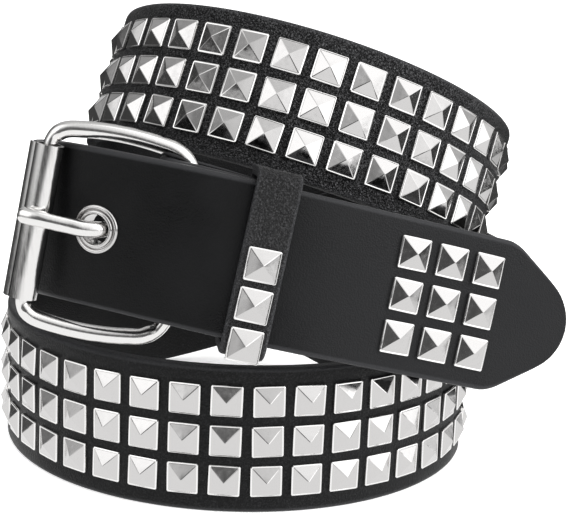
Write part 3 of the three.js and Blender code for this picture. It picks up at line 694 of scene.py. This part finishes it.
def stud_shape():
    """Points and faces of one pyramid stud with a small rim, rounded ridges and a blunt peak."""
    points, faces = [], []
    for half, height, chamfer in STUD_RINGS:
        c = min(chamfer, half * 0.45)
        ring = []
        for quarter in range(4):
            turn = quarter * 90
            side = [(half, -half + c), (half + 0.02, 0.0), (half, half - c)]
            for x, y in side:
                ring.append((x * cos(turn) - y * sin(turn), x * sin(turn) + y * cos(turn), height))
        points += ring
    points.append((0, 0, STUD_HEIGHT))
    count = 12
    for k in range(len(STUD_RINGS) - 1):
        for j in range(count):
            after = (j + 1) % count
            faces.append((k * count + j, k * count + after, (k + 1) * count + after, (k + 1) * count + j))
    last = (len(STUD_RINGS) - 1) * count
    for j in range(count):
        faces.append((last + j, last + (j + 1) % count, len(points) - 1))
    faces.append(tuple(range(count - 1, -1, -1)))
    return np.array(points), faces


STUD_POINTS, STUD_FACES = stud_shape()
# Painted highlight: marks the rim points whose base colour is made brighter.
STUD_RIM_HIGHLIGHT = np.where(np.abs(STUD_POINTS[:, :2]).max(axis=1) > 3.55, 1.0, 0.0)


def add_studs(name, places, replaced=(), lift=0.0, wobble=1.0):
    """Studs at (distance, across) places, each set a little unevenly as by hand."""
    spread = np.random.default_rng(11)
    all_points, all_faces = [], []
    for distance, across in places:
        lean_x, lean_y = spread.normal(0, 0.013 * wobble, 2)
        turn = spread.normal(0, 0.9 * wobble)
        local = STUD_POINTS.copy()
        x = local[:, 0] * cos(turn) - local[:, 1] * sin(turn)
        y = local[:, 0] * sin(turn) + local[:, 1] * cos(turn)
        z = local[:, 2] + lean_x * x + lean_y * y + lift
        position, along, up, out = frames_at([distance])
        base = len(all_points) * len(STUD_POINTS)
        placed = position + along * x[:, None] + up * (across + y)[:, None] + out * z[:, None]
        all_points.append(placed)
        all_faces += [tuple(base + i for i in face) for face in STUD_FACES]
    piece = make_piece(name, np.vstack(all_points), all_faces, POLISHED, replaced, 9)
    rim = piece.data.attributes.new("rim", "FLOAT", "POINT")
    rim.data.foreach_set("value", np.tile(STUD_RIM_HIGHLIGHT, len(places)).astype(np.float32))
    return piece


def turned_about_y(angle):
    turned = np.eye(4)
    turned[:3, :3] = tilt_of(angle, 0)
    return turned


def roller_clears(matrix):
    local = np.linalg.inv(matrix)
    for turn in np.arange(HEEL_TURN - 8, -70, -1.0):
        for across in (-STRAP_WIDTH / 2, 0, STRAP_WIDTH / 2):
            skin = local @ middle_axes(turn, 0) @ np.array([0, across, 0, 1])
            if math.hypot(skin[0] + FRAME_LENGTH, skin[2]) < ROLLER_DIAMETER / 2 + SEAT_GAP:
                return False
            if skin[2] > 0 and skin[0] < -FRAME_LENGTH:
                return False
    return True


def find_buckle():
    hang = np.eye(4)
    hang[:3, 3] = (BAR_INSET, -BUCKLE_DROP, 0)
    bar = HEEL @ hang
    angle, matrix = 0.0, bar
    while angle < 40 and not roller_clears(matrix):
        angle += 0.1
        matrix = bar @ turned_about_y(angle)
    return matrix


BUCKLE = find_buckle()


def in_buckle(points):
    points = np.asarray(points, float)
    return points @ BUCKLE[:3, :3].T + BUCKLE[:3, 3]


def smooth_path(points, count, closed=False):
    """Evenly spaced points on a centripetal curve through the given ones."""
    points = [np.asarray(p, float) for p in points]
    n = len(points)
    samples = []
    spans = n if closed else n - 1
    for k in range(spans):
        if closed:
            p0, p1, p2, p3 = (points[(k + j) % n] for j in (-1, 0, 1, 2))
        else:
            p1, p2 = points[k], points[k + 1]
            p0 = points[k - 1] if k else 2 * p1 - p2
            p3 = points[k + 2] if k + 2 < n else 2 * p2 - p1
        steps = [max(1e-4, np.linalg.norm(b - a) ** 0.5) for a, b in ((p0, p1), (p1, p2), (p2, p3))]
        m1 = ((p1 - p0) / steps[0] - (p2 - p0) / (steps[0] + steps[1]) + (p2 - p1) / steps[1]) * steps[1]
        m2 = ((p2 - p1) / steps[1] - (p3 - p1) / (steps[1] + steps[2]) + (p3 - p2) / steps[2]) * steps[1]
        for t in np.linspace(0, 1, 24, endpoint=False):
            t2, t3 = t * t, t ** 3
            samples.append((2 * t3 - 3 * t2 + 1) * p1 + (t3 - 2 * t2 + t) * m1
                           + (3 * t2 - 2 * t3) * p2 + (t3 - t2) * m2)
    samples.append(points[0] if closed else points[-1])
    samples = np.array(samples)
    at = np.concatenate([[0], np.cumsum(np.linalg.norm(np.diff(samples, axis=0), axis=1))])
    wanted = np.linspace(0, at[-1], count + 1)
    path = np.stack([np.interp(wanted, at, samples[:, j]) for j in range(3)], axis=-1)
    return path[:-1] if closed else path


def sweep(path, side, section, closed, scale=None):
    """Carries a section of (across, square) points along a path."""
    path = np.asarray(path, float)
    if closed:
        after, before = np.roll(path, -1, axis=0), np.roll(path, 1, axis=0)
    else:
        after, before = np.vstack([path[1:], path[-1:]]), np.vstack([path[:1], path[:-1]])
    along = after - before
    along /= np.linalg.norm(along, axis=1)[:, None]
    across = side - along * (along @ side)[:, None]
    across /= np.linalg.norm(across, axis=1)[:, None]
    square = np.cross(along, across)
    section = np.asarray(section, float)
    scale = np.ones(len(path)) if scale is None else np.asarray(scale)
    points = path[:, None, :] + across[:, None, :] * section[None, :, 0, None] * scale[:, None, None]
    points = points + square[:, None, :] * section[None, :, 1, None] * scale[:, None, None]
    count = len(section)
    rings = len(path)
    faces = []
    for k in range(rings if closed else rings - 1):
        following = (k + 1) % rings
        for n in range(count):
            after_n = (n + 1) % count
            faces.append((k * count + n, k * count + after_n, following * count + after_n, following * count + n))
    if not closed:
        faces.append(tuple(range(count - 1, -1, -1)))
        faces.append(tuple(range((rings - 1) * count, rings * count)))
    return points.reshape(-1, 3), faces


def round_section(radius, sides, flatness=1.0):
    return [(radius * math.cos(2 * math.pi * n / sides), radius * flatness * math.sin(2 * math.pi * n / sides))
            for n in range(sides)]


def build_frame():
    half = FRAME_HEIGHT / 2
    heel, front = FRAME_CORNER, ROLLER_CORNER
    corners = ((-heel, half - heel, 0, heel), (-FRAME_LENGTH + front, half - front, 90, front),
               (-FRAME_LENGTH + front, -half + front, 180, front), (-heel, -half + heel, 270, heel))
    points = []
    for x, y, start, radius in corners:
        for k in range(13):
            turn = start + 90 * k / 12
            points.append((x + radius * cos(turn), y + radius * sin(turn), 0))
        if start in (0, 180):
            sign = 1 if start == 0 else -1
            left, right = -FRAME_LENGTH + front, -heel
            for k in range(1, 16):
                t = k / 16
                x_here = (right + (left - right) * t) if start == 0 else (left + (right - left) * t)
                bow = FRAME_BOW * 4 * t * (1 - t)
                points.append((x_here, sign * (half + bow), 0))
        else:
            for k in range(1, 8):
                t = k / 8
                if start == 90:
                    points.append((-FRAME_LENGTH, half - front - (2 * half - 2 * front) * t, 0))
                else:
                    points.append((0, -half + heel + (2 * half - 2 * heel) * t, 0))
    path = smooth_path(points, 260, True)
    for _ in range(10):
        path = (np.roll(path, 1, axis=0) + 2 * path + np.roll(path, -1, axis=0)) / 4
    share = np.clip((np.abs(path[:, 1]) - 20.4) / 2.0, 0, 1)
    share = share * share * (3 - 2 * share)
    path[:, 1] -= np.sign(path[:, 1]) * RAIL_SWELL * share
    swell = 1 + RAIL_SWELL * share / (BAR_DIAMETER / 2)
    path, faces = sweep(in_buckle(path), BUCKLE[:3, 2], round_section(BAR_DIAMETER / 2, 22), True, swell)
    return make_piece("buckle_bar", path, faces, BRUSHED, ("buckle_frame",), 60)


def build_roller():
    """A rolled sheet whose outer end stands off as a narrow flange on the left."""
    outer = ROLLER_DIAMETER / 2
    inner = outer - 0.6
    start, end, count = 152.0, -166.0, 44
    turns = [start + (end - start) * k / count for k in range(count + 1)]
    flange = [(-outer - 1.25, -1.7), (-outer - 1.2, -0.8), (-outer - 0.95, 0.2), (-outer - 0.35, 1.15),
              (-outer + 0.14, 1.47)]
    flange_back = [(-outer + 0.5, 1.1), (-outer + 0.05, 0.85), (-outer - 0.5, 0.0), (-outer - 0.7, -0.9), (-outer - 0.75, -1.7)]
    outline = flange + [(outer * cos(turn), outer * sin(turn)) for turn in turns]
    outline += [(inner * cos(turn), inner * sin(turn)) for turn in reversed(turns)] + flange_back
    half = ROLLER_LENGTH / 2
    points, faces = [], []
    size = len(outline)
    for y in (-half, half):
        points += [(-FRAME_LENGTH + x, y, z) for x, z in outline]
    for n in range(size):
        after = (n + 1) % size
        faces.append((n, size + n, size + after, after))
    for n in range(size // 2 - 1):
        quad = (n, n + 1, size - 2 - n, size - 1 - n)
        faces.append(quad)
        faces.append(tuple(size + i for i in reversed(quad)))
    sheet = make_piece("roller_sheet", in_buckle(points), faces, BRUSHED, ("roller",), 28)
    # Painted shade: a thin dark line in the groove where the flange leaves the tube.
    dark = np.zeros(size)
    dark[len(flange)] = 1.0
    shade = sheet.data.attributes.new("shade", "FLOAT", "POINT")
    shade.data.foreach_set("value", np.tile(dark, 2).astype(np.float32))
    return sheet


def build_prong():
    radius = PRONG_DIAMETER / 2
    under = -STRAP_THICKNESS - SEAT_GAP - EYELET_FLANGE_HEIGHT - radius
    over = ROLLER_DIAMETER / 2 + SEAT_GAP + radius
    room = EYELET_HOLE / 2 - radius
    near = ((EYELET_FLANGE / 2 + 1, under - 0.7 * radius), (1.1 * room, under - 0.45 * radius),
            (0.65 * room, -STRAP_THICKNESS), (0.5 * room, 0), (-1.4 * room, 1.3 * radius))
    position, along, _, out = (rows[0] for rows in frames_at([EYELET_AT]))
    points = [in_buckle([(-BAR_DIAMETER / 2 - 1, 0, 0)])[0]]
    points += [position + along * x + out * z for x, z in near]
    top, tip = in_buckle([(-FRAME_LENGTH, PRONG_LIFT, over + 0.1),
                          (-FRAME_LENGTH - PRONG_OVERHANG + 0.6, PRONG_LIFT, over - 0.8)])
    points += [points[-1] * 0.7 + top * 0.3, top, tip]
    path = smooth_path(points, 90)
    last = path[-1]
    step = unit(path[-1] - path[-2])
    caps = [(0.0, 1.0)] + [(radius * 0.85 * sin(turn), cos(turn)) for turn in (20, 40, 58, 74, 86)]
    path = np.vstack([path[:-1]] + [last + step * length for length, _ in caps])
    scale = np.concatenate([np.ones(90), [size for _, size in caps]])
    points, faces = sweep(path, BUCKLE[:3, 1], round_section(radius, 20, 0.92), False, scale)
    ring_radius = BAR_DIAMETER / 2 + SEAT_GAP + PRONG_RING / 2
    ring = [(ring_radius * cos(turn), 0, ring_radius * sin(turn)) for turn in range(0, 360, 12)]
    section = [(PRONG_DIAMETER / 2 * math.cos(t) * 0.98, PRONG_RING / 2 * math.sin(t) * 0.98)
               for t in np.linspace(0, 2 * math.pi, 16, endpoint=False)]
    ring_points, ring_faces = sweep(in_buckle(ring), BUCKLE[:3, 1], section, True)
    base = len(points)
    faces = list(faces) + [tuple(base + i for i in face) for face in ring_faces]
    return make_piece("prong_rod", np.vstack([points, ring_points]), faces, BRUSHED, ("prong",), 50)


def lathe(profile, sides):
    """Points (x, y, z) and faces of a closed profile of (radius, height) turned about Z."""
    points, faces = [], []
    for n in range(sides):
        turn = 360 * n / sides
        points += [(r * cos(turn), r * sin(turn), h) for r, h in profile]
    count = len(profile)
    for n in range(sides):
        after = (n + 1) % sides
        for j in range(count):
            following = (j + 1) % count
            faces.append((n * count + j, after * count + j, after * count + following, n * count + following))
    return points, faces


def half_ring(centre, height, radius, start=180, end=0, steps=7):
    return [(centre + radius * cos(start + (end - start) * k / steps),
             height + radius * sin(start + (end - start) * k / steps)) for k in range(steps + 1)]


def build_eyelets():
    inner, flange = EYELET_HOLE / 2, EYELET_FLANGE / 2
    low = -STRAP_THICKNESS - SEAT_GAP
    profile = [(inner, low - 0.5), (inner + 0.3, low - EYELET_FLANGE_HEIGHT), (flange - 0.3, low - EYELET_FLANGE_HEIGHT),
               (flange, low - 0.3), (flange - 0.1, low), (inner + EYELET_TUBE, low), (inner + EYELET_TUBE, 0.05)]
    outer_ring = half_ring(flange - 0.55, 0.25, 0.55, 0, 180)
    inner_ring = half_ring(inner + 0.50, 0.50, 0.50, 0, 180)
    profile = profile + [(flange, 0.0)] + outer_ring + [(flange - 1.12, 0.02), (inner + 1.05, 0.02)] + inner_ring
    points, faces = lathe(profile, 40)
    all_points, all_faces = [], []
    for at in EYELETS:
        base = len(all_points) * len(points)
        all_points.append(on_strap(points, at))
        all_faces += [tuple(base + i for i in face) for face in faces]
    names = ["eyelet_%d" % (k + 1) for k in range(EYELET_COUNT)]
    return make_piece("eyelet_rings", np.vstack(all_points), all_faces, POLISHED, names, 50)


def build_rivets():
    head = RIVET_HEAD / 2
    high, low = SEAT_GAP, -FLAP_DEPTH + UNDER_DEPTH - SEAT_GAP
    dome = [(head * cos(t), high + 0.25 + 0.85 * sin(t)) for t in (0, 18, 36, 54, 72, 88)]
    profile = [(RIVET_DIAMETER / 2, low), (RIVET_DIAMETER / 2, high), (head, high)] + dome
    profile += [(0.05, high + 1.1), (0.05, low - 1.1)]
    profile += [(r, low - 0.25 - (h - high - 0.25)) for r, h in reversed(dome)] + [(head, low)]
    points, faces = lathe(profile, 28)
    all_points, all_faces = [], []
    for across in (-RIVET_SPREAD / 2, RIVET_SPREAD / 2):
        base = len(all_points) * len(points)
        all_points.append(on_strap(points, RIVET_AT, 0, across))
        all_faces += [tuple(base + i for i in face) for face in faces]
    return make_piece("rivet_caps", np.vstack(all_points), all_faces, BRUSHED,
                      ("fold_rivet_1", "fold_rivet_2"), 40)


def build_keeper():
    """A band with soft edges round the strap's layers."""
    inner_half = STRAP_WIDTH / 2 + KEEPER_CLEARANCE
    outer_half = inner_half + KEEPER_WALL + KEEPER_CLEARANCE
    deep = FLAP_DEPTH + KEEPER_CLEARANCE / 2
    high = KEEPER_CLEARANCE / 2
    mid_y = (inner_half + outer_half) / 2
    top, bottom = high + KEEPER_WALL / 2, -deep - KEEPER_WALL / 2
    corner = 2.0
    loop = []
    for x, z, start in ((mid_y - corner, top - corner, 0), (-mid_y + corner, top - corner, 90),
                        (-mid_y + corner, bottom + corner, 180), (mid_y - corner, bottom + corner, 270)):
        ring = [(x + corner * cos(start + 90 * k / 8), z + corner * sin(start + 90 * k / 8)) for k in range(9)]
        if loop:
            last = np.array(loop[-1])
            first = np.array(ring[0])
            count = max(2, int(np.linalg.norm(first - last) / 1.2))
            loop += [tuple(last + (first - last) * k / count) for k in range(1, count)]
        loop += ring
    last, first = np.array(loop[-1]), np.array(loop[0])
    count = max(2, int(np.linalg.norm(first - last) / 1.2))
    loop += [tuple(last + (first - last) * k / count) for k in range(1, count)]
    path = np.array([(0, y, z) for y, z in loop])
    wide, wall = KEEPER_WIDTH / 2, KEEPER_WALL / 2
    face = []
    for x, z, start in ((wide - 0.9, wall - 0.55, 0), (-wide + 0.9, wall - 0.55, 90),
                        (-wide + 0.2, -wall + 0.2, 180), (wide - 0.2, -wall + 0.2, 270)):
        rx = 0.9 if start < 180 else 0.2
        rz = 0.55 if start < 180 else 0.2
        face += [(x + rx * cos(start + 30 * k), z + rz * sin(start + 30 * k)) for k in range(4)]
        if start == 0:
            face += [(wide - 0.9 - (2 * wide - 1.8) * k / 8, wall) for k in range(1, 8)]
        if start == 180:
            face += [(-wide + 0.2 + (2 * wide - 0.4) * k / 6, -wall) for k in range(1, 6)]
    # Painted highlight: the keeper's rounded side edges get a lighter colour.
    edge_highlight = [1.0 if abs(x) > wide - 0.85 else 0.0 for x, _ in face]
    points, faces = sweep(path, np.array([1.0, 0, 0]), face, True)
    keeper = make_piece("keeper_band", on_strap(points, KEEPER_OVER), faces, KEEPER_LEATHER,
                        ("keeper",), 50)
    edge = keeper.data.attributes.new("edge", "FLOAT", "POINT")
    edge.data.foreach_set("value", np.tile(edge_highlight, len(path)).astype(np.float32))
    return keeper


strap = build_strap()
cut_holes(strap)
add_studs("strap_studs", [(at, row) for at in COLUMNS for row in ROWS])
add_studs("tip_studs", [(at, row) for at in TIP_COLUMNS for row in ROWS],
          ["tip_stud_%d" % (k + 1) for k in range(9)], SEAT_GAP)
add_studs("keeper_studs", [(KEEPER_OVER, -k * KEEPER_STUD_PITCH) for k in range(3)],
          ["keeper_stud_%d" % (k + 1) for k in range(3)], KEEPER_CLEARANCE / 2 + KEEPER_WALL + SEAT_GAP)
build_keeper()
build_frame()
build_roller()
build_prong()
build_eyelets()
build_rivets()

# Floor
floor_mesh = bpy.data.meshes.new("floor")
floor_mesh.from_pydata([(-6, -6, 0), (6, -6, 0), (6, 6, 0), (-6, 6, 0)], [], [(0, 1, 2, 3)])
floor = bpy.data.objects.new("floor", floor_mesh)
bpy.context.scene.collection.objects.link(floor)
floor_look, floor_tree, floor_shader = new_material("floor_look")
floor_shader.inputs["Base Color"].default_value = (0.95, 0.95, 0.95, 1)
floor_shader.inputs["Roughness"].default_value = 0.9
floor_shader.inputs["Specular IOR Level"].default_value = 0.1
floor_shader.inputs["Emission Color"].default_value = (1, 1, 1, 1)
floor_shader.inputs["Emission Strength"].default_value = 0.5
# Painted light: seen in reflections, the floor glows brightest round a spot just in front of the belt and dims
# further out; other rays see the plain pale floor.
floor_place = add_node(floor_tree, "ShaderNodeTexCoord")
from_light = add_node(floor_tree, "ShaderNodeVectorMath", operation="DISTANCE")
from_light.inputs[1].default_value = (0.0, -0.35, 0)
painted_light_pool = add_node(floor_tree, "ShaderNodeMapRange")
painted_light_pool.inputs["From Min"].default_value = 0.42
painted_light_pool.inputs["From Max"].default_value = 0.53
painted_light_pool.inputs["To Min"].default_value = 1.0
painted_light_pool.inputs["To Max"].default_value = 0.06
mirrored = add_node(floor_tree, "ShaderNodeEmission")
rays = add_node(floor_tree, "ShaderNodeLightPath")
floor_mix = add_node(floor_tree, "ShaderNodeMixShader")
floor_tree.links.new(floor_place.outputs["Object"], from_light.inputs[0])
floor_tree.links.new(from_light.outputs["Value"], painted_light_pool.inputs["Value"])
floor_tree.links.new(painted_light_pool.outputs["Result"], mirrored.inputs["Strength"])
floor_tree.links.new(rays.outputs["Is Glossy Ray"], floor_mix.inputs["Fac"])
floor_tree.links.new(floor_shader.outputs["BSDF"], floor_mix.inputs[1])
floor_tree.links.new(mirrored.outputs["Emission"], floor_mix.inputs[2])
floor_tree.links.new(floor_mix.outputs["Shader"], floor_tree.nodes["Material Output"].inputs["Surface"])
floor_mesh.materials.append(floor_look)


def add_light(name, place, target, size, power, colour=(1, 1, 1)):
    data = bpy.data.lights.new(name, "AREA")
    data.shape = "RECTANGLE"
    data.size, data.size_y = size
    data.energy = power
    data.color = colour
    lamp = bpy.data.objects.new(name, data)
    bpy.context.scene.collection.objects.link(lamp)
    lamp.location = place
    lamp.rotation_euler = (Vector(target) - Vector(place)).to_track_quat("-Z", "Y").to_euler()
    lamp.visible_glossy = False
    return lamp


add_light("key_left", (-0.75, -0.75, 0.55), (0, 0, 0.06), (0.6, 0.7), 2)
add_light("fill_right", (0.95, -0.3, 0.35), (0.02, 0, 0.06), (0.5, 0.6), 9)
add_light("top", (0.0, 0.1, 1.1), (0, 0, 0.06), (1.2, 1.2), 8)

# Studio room: at five heights above the floor, turns from the camera's side towards the right and
# how bright the room is there
ROOM = (
    (5, ((-180, 0.40), (-152, 0.40), (-143, 0.05), (-117, 0.05), (-100, 0.10), (-83, 0.30), (-55, 0.50),
         (-36, 0.42), (-28, 0.09), (-2, 0.07), (10, 0.10), (20, 0.50), (35, 0.60), (46, 1.30), (60, 1.30), (80, 0.95),
         (100, 0.80), (110, 0.50), (125, 0.40), (138, 0.65), (180, 0.40))),
    (18, ((-180, 0.30), (-155, 0.30), (-145, 0.03), (-121, 0.03), (-113, 0.06), (-105, 0.35), (-98, 0.12),
          (-83, 0.35), (-65, 0.95), (-40, 0.85), (-28, 0.16), (-3, 0.05), (7, 0.08), (15, 0.40),
          (26, 0.80), (38, 0.70), (47, 1.30), (70, 1.20), (94, 1.0), (107, 0.80), (120, 0.35), (180, 0.30))),
    (32, ((-180, 0.30), (-145, 0.30), (-128, 0.04), (-116, 0.08), (-106, 0.25), (-92, 0.40), (-84, 0.80), (-77, 1.0),
          (-33, 1.0), (-25, 0.36), (-14, 0.30), (-6, 0.08), (-2, 0.10), (3, 0.35), (12, 0.50),
          (17, 0.55), (26, 0.80), (38, 0.80), (57, 1.0), (107, 0.90), (120, 0.50), (180, 0.30))),
    (52, ((-180, 0.35), (-133, 0.32), (-123, 0.15), (-108, 0.22), (-85, 0.75), (-50, 0.90), (-20, 0.60),
          (0, 0.45), (36, 0.85), (60, 1.0), (100, 1.0), (130, 0.50), (180, 0.35))),
    (80, ((-180, 0.42), (-107, 0.36), (-90, 0.38), (-50, 0.55), (5, 0.50), (20, 0.60), (65, 1.0),
          (100, 1.0), (140, 0.50), (180, 0.42))),
)

world = bpy.data.worlds.new("studio")
bpy.context.scene.world = world
world.use_nodes = True
sky = world.node_tree
background = sky.nodes["Background"]
where = add_node(sky, "ShaderNodeTexCoord")
split = add_node(sky, "ShaderNodeSeparateXYZ")
sky.links.new(where.outputs["Generated"], split.inputs["Vector"])
azimuth = add_node(sky, "ShaderNodeMath", operation="ARCTAN2")
flip = add_node(sky, "ShaderNodeMath", operation="MULTIPLY")
flip.inputs[1].default_value = -1.0
sky.links.new(split.outputs["Y"], flip.inputs[0])
sky.links.new(split.outputs["X"], azimuth.inputs[0])
sky.links.new(flip.outputs["Value"], azimuth.inputs[1])
turn_share = add_node(sky, "ShaderNodeMapRange")
turn_share.inputs["From Min"].default_value = -math.pi
turn_share.inputs["From Max"].default_value = math.pi
sky.links.new(azimuth.outputs["Value"], turn_share.inputs["Value"])


def room_band(levels):
    node = add_node(sky, "ShaderNodeValToRGB")
    sky.links.new(turn_share.outputs["Result"], node.inputs["Fac"])
    ramp = node.color_ramp
    for element, level in zip(ramp.elements, (levels[0][1], levels[-1][1])):
        element.color = (level, level, level, 1)
    for turn, level in levels[1:-1]:
        ramp.elements.new((turn + 180) / 360).color = (level, level, level, 1)
    return node.outputs["Color"]


def height_blend(low, high, below, above):
    """Mixes two bands between two heights given as angles above the floor."""
    share = add_node(sky, "ShaderNodeMapRange")
    share.inputs["From Min"].default_value = sin(low)
    share.inputs["From Max"].default_value = sin(high)
    sky.links.new(split.outputs["Z"], share.inputs["Value"])
    mix = add_node(sky, "ShaderNodeMix", data_type="RGBA")
    sky.links.new(share.outputs["Result"], mix.inputs["Factor"])
    sky.links.new(below, mix.inputs["A"])
    sky.links.new(above, mix.inputs["B"])
    return mix.outputs["Result"]


room_height, room_levels = ROOM[0]
walls = room_band(room_levels)
for height, levels in ROOM[1:]:
    third = (height - room_height) / 3
    walls = height_blend(room_height + third, height - third, walls, room_band(levels))
    room_height = height
sky.links.new(walls, background.inputs["Color"])
background.inputs["Strength"].default_value = 1.5
backdrop = add_node(sky, "ShaderNodeBackground")
backdrop.inputs["Color"].default_value = (1, 1, 1, 1)
backdrop.inputs["Strength"].default_value = 1.0
kind = add_node(sky, "ShaderNodeLightPath")
choose = add_node(sky, "ShaderNodeMixShader")
sky.links.new(kind.outputs["Is Camera Ray"], choose.inputs["Fac"])
sky.links.new(background.outputs["Background"], choose.inputs[1])
sky.links.new(backdrop.outputs["Background"], choose.inputs[2])
sky.links.new(choose.outputs["Shader"], sky.nodes["World Output"].inputs["Surface"])
bpy.context.scene.view_settings.view_transform = "Standard"

# Camera, as fitted to the photograph: 569 by 516 pixels, focal length in pixels
CAMERA_TURN = -2.42
CAMERA_DROP = 13.83
CAMERA_AIM = (12.395, 9.826, 47.681)
CAMERA_DISTANCE = 452.4
FOCAL_PIXELS = 1568.66
turned = tilt_of(CAMERA_TURN, 0)
eye = turned @ np.array([0, -CAMERA_DISTANCE * cos(CAMERA_DROP), CAMERA_DISTANCE * sin(CAMERA_DROP)])
forward = turned @ np.array([0, cos(CAMERA_DROP), -sin(CAMERA_DROP)])
right = turned @ np.array([1.0, 0, 0])
above = np.cross(right, forward)
camera_data = bpy.data.cameras.new("camera")
camera_data.sensor_width = 36.0
camera_data.lens = 36.0 * FOCAL_PIXELS / 569
camera_data.clip_start = 0.01
camera_data.clip_end = 50.0
camera = bpy.data.objects.new("camera", camera_data)
bpy.context.scene.collection.objects.link(camera)
pose = np.eye(4)
pose[:3, 0], pose[:3, 1], pose[:3, 2] = right, above, -forward
pose[:3, 3] = (eye + np.array(CAMERA_AIM)) * MM + SHIFT
camera.matrix_world = Matrix(pose.tolist())
bpy.context.scene.camera = camera
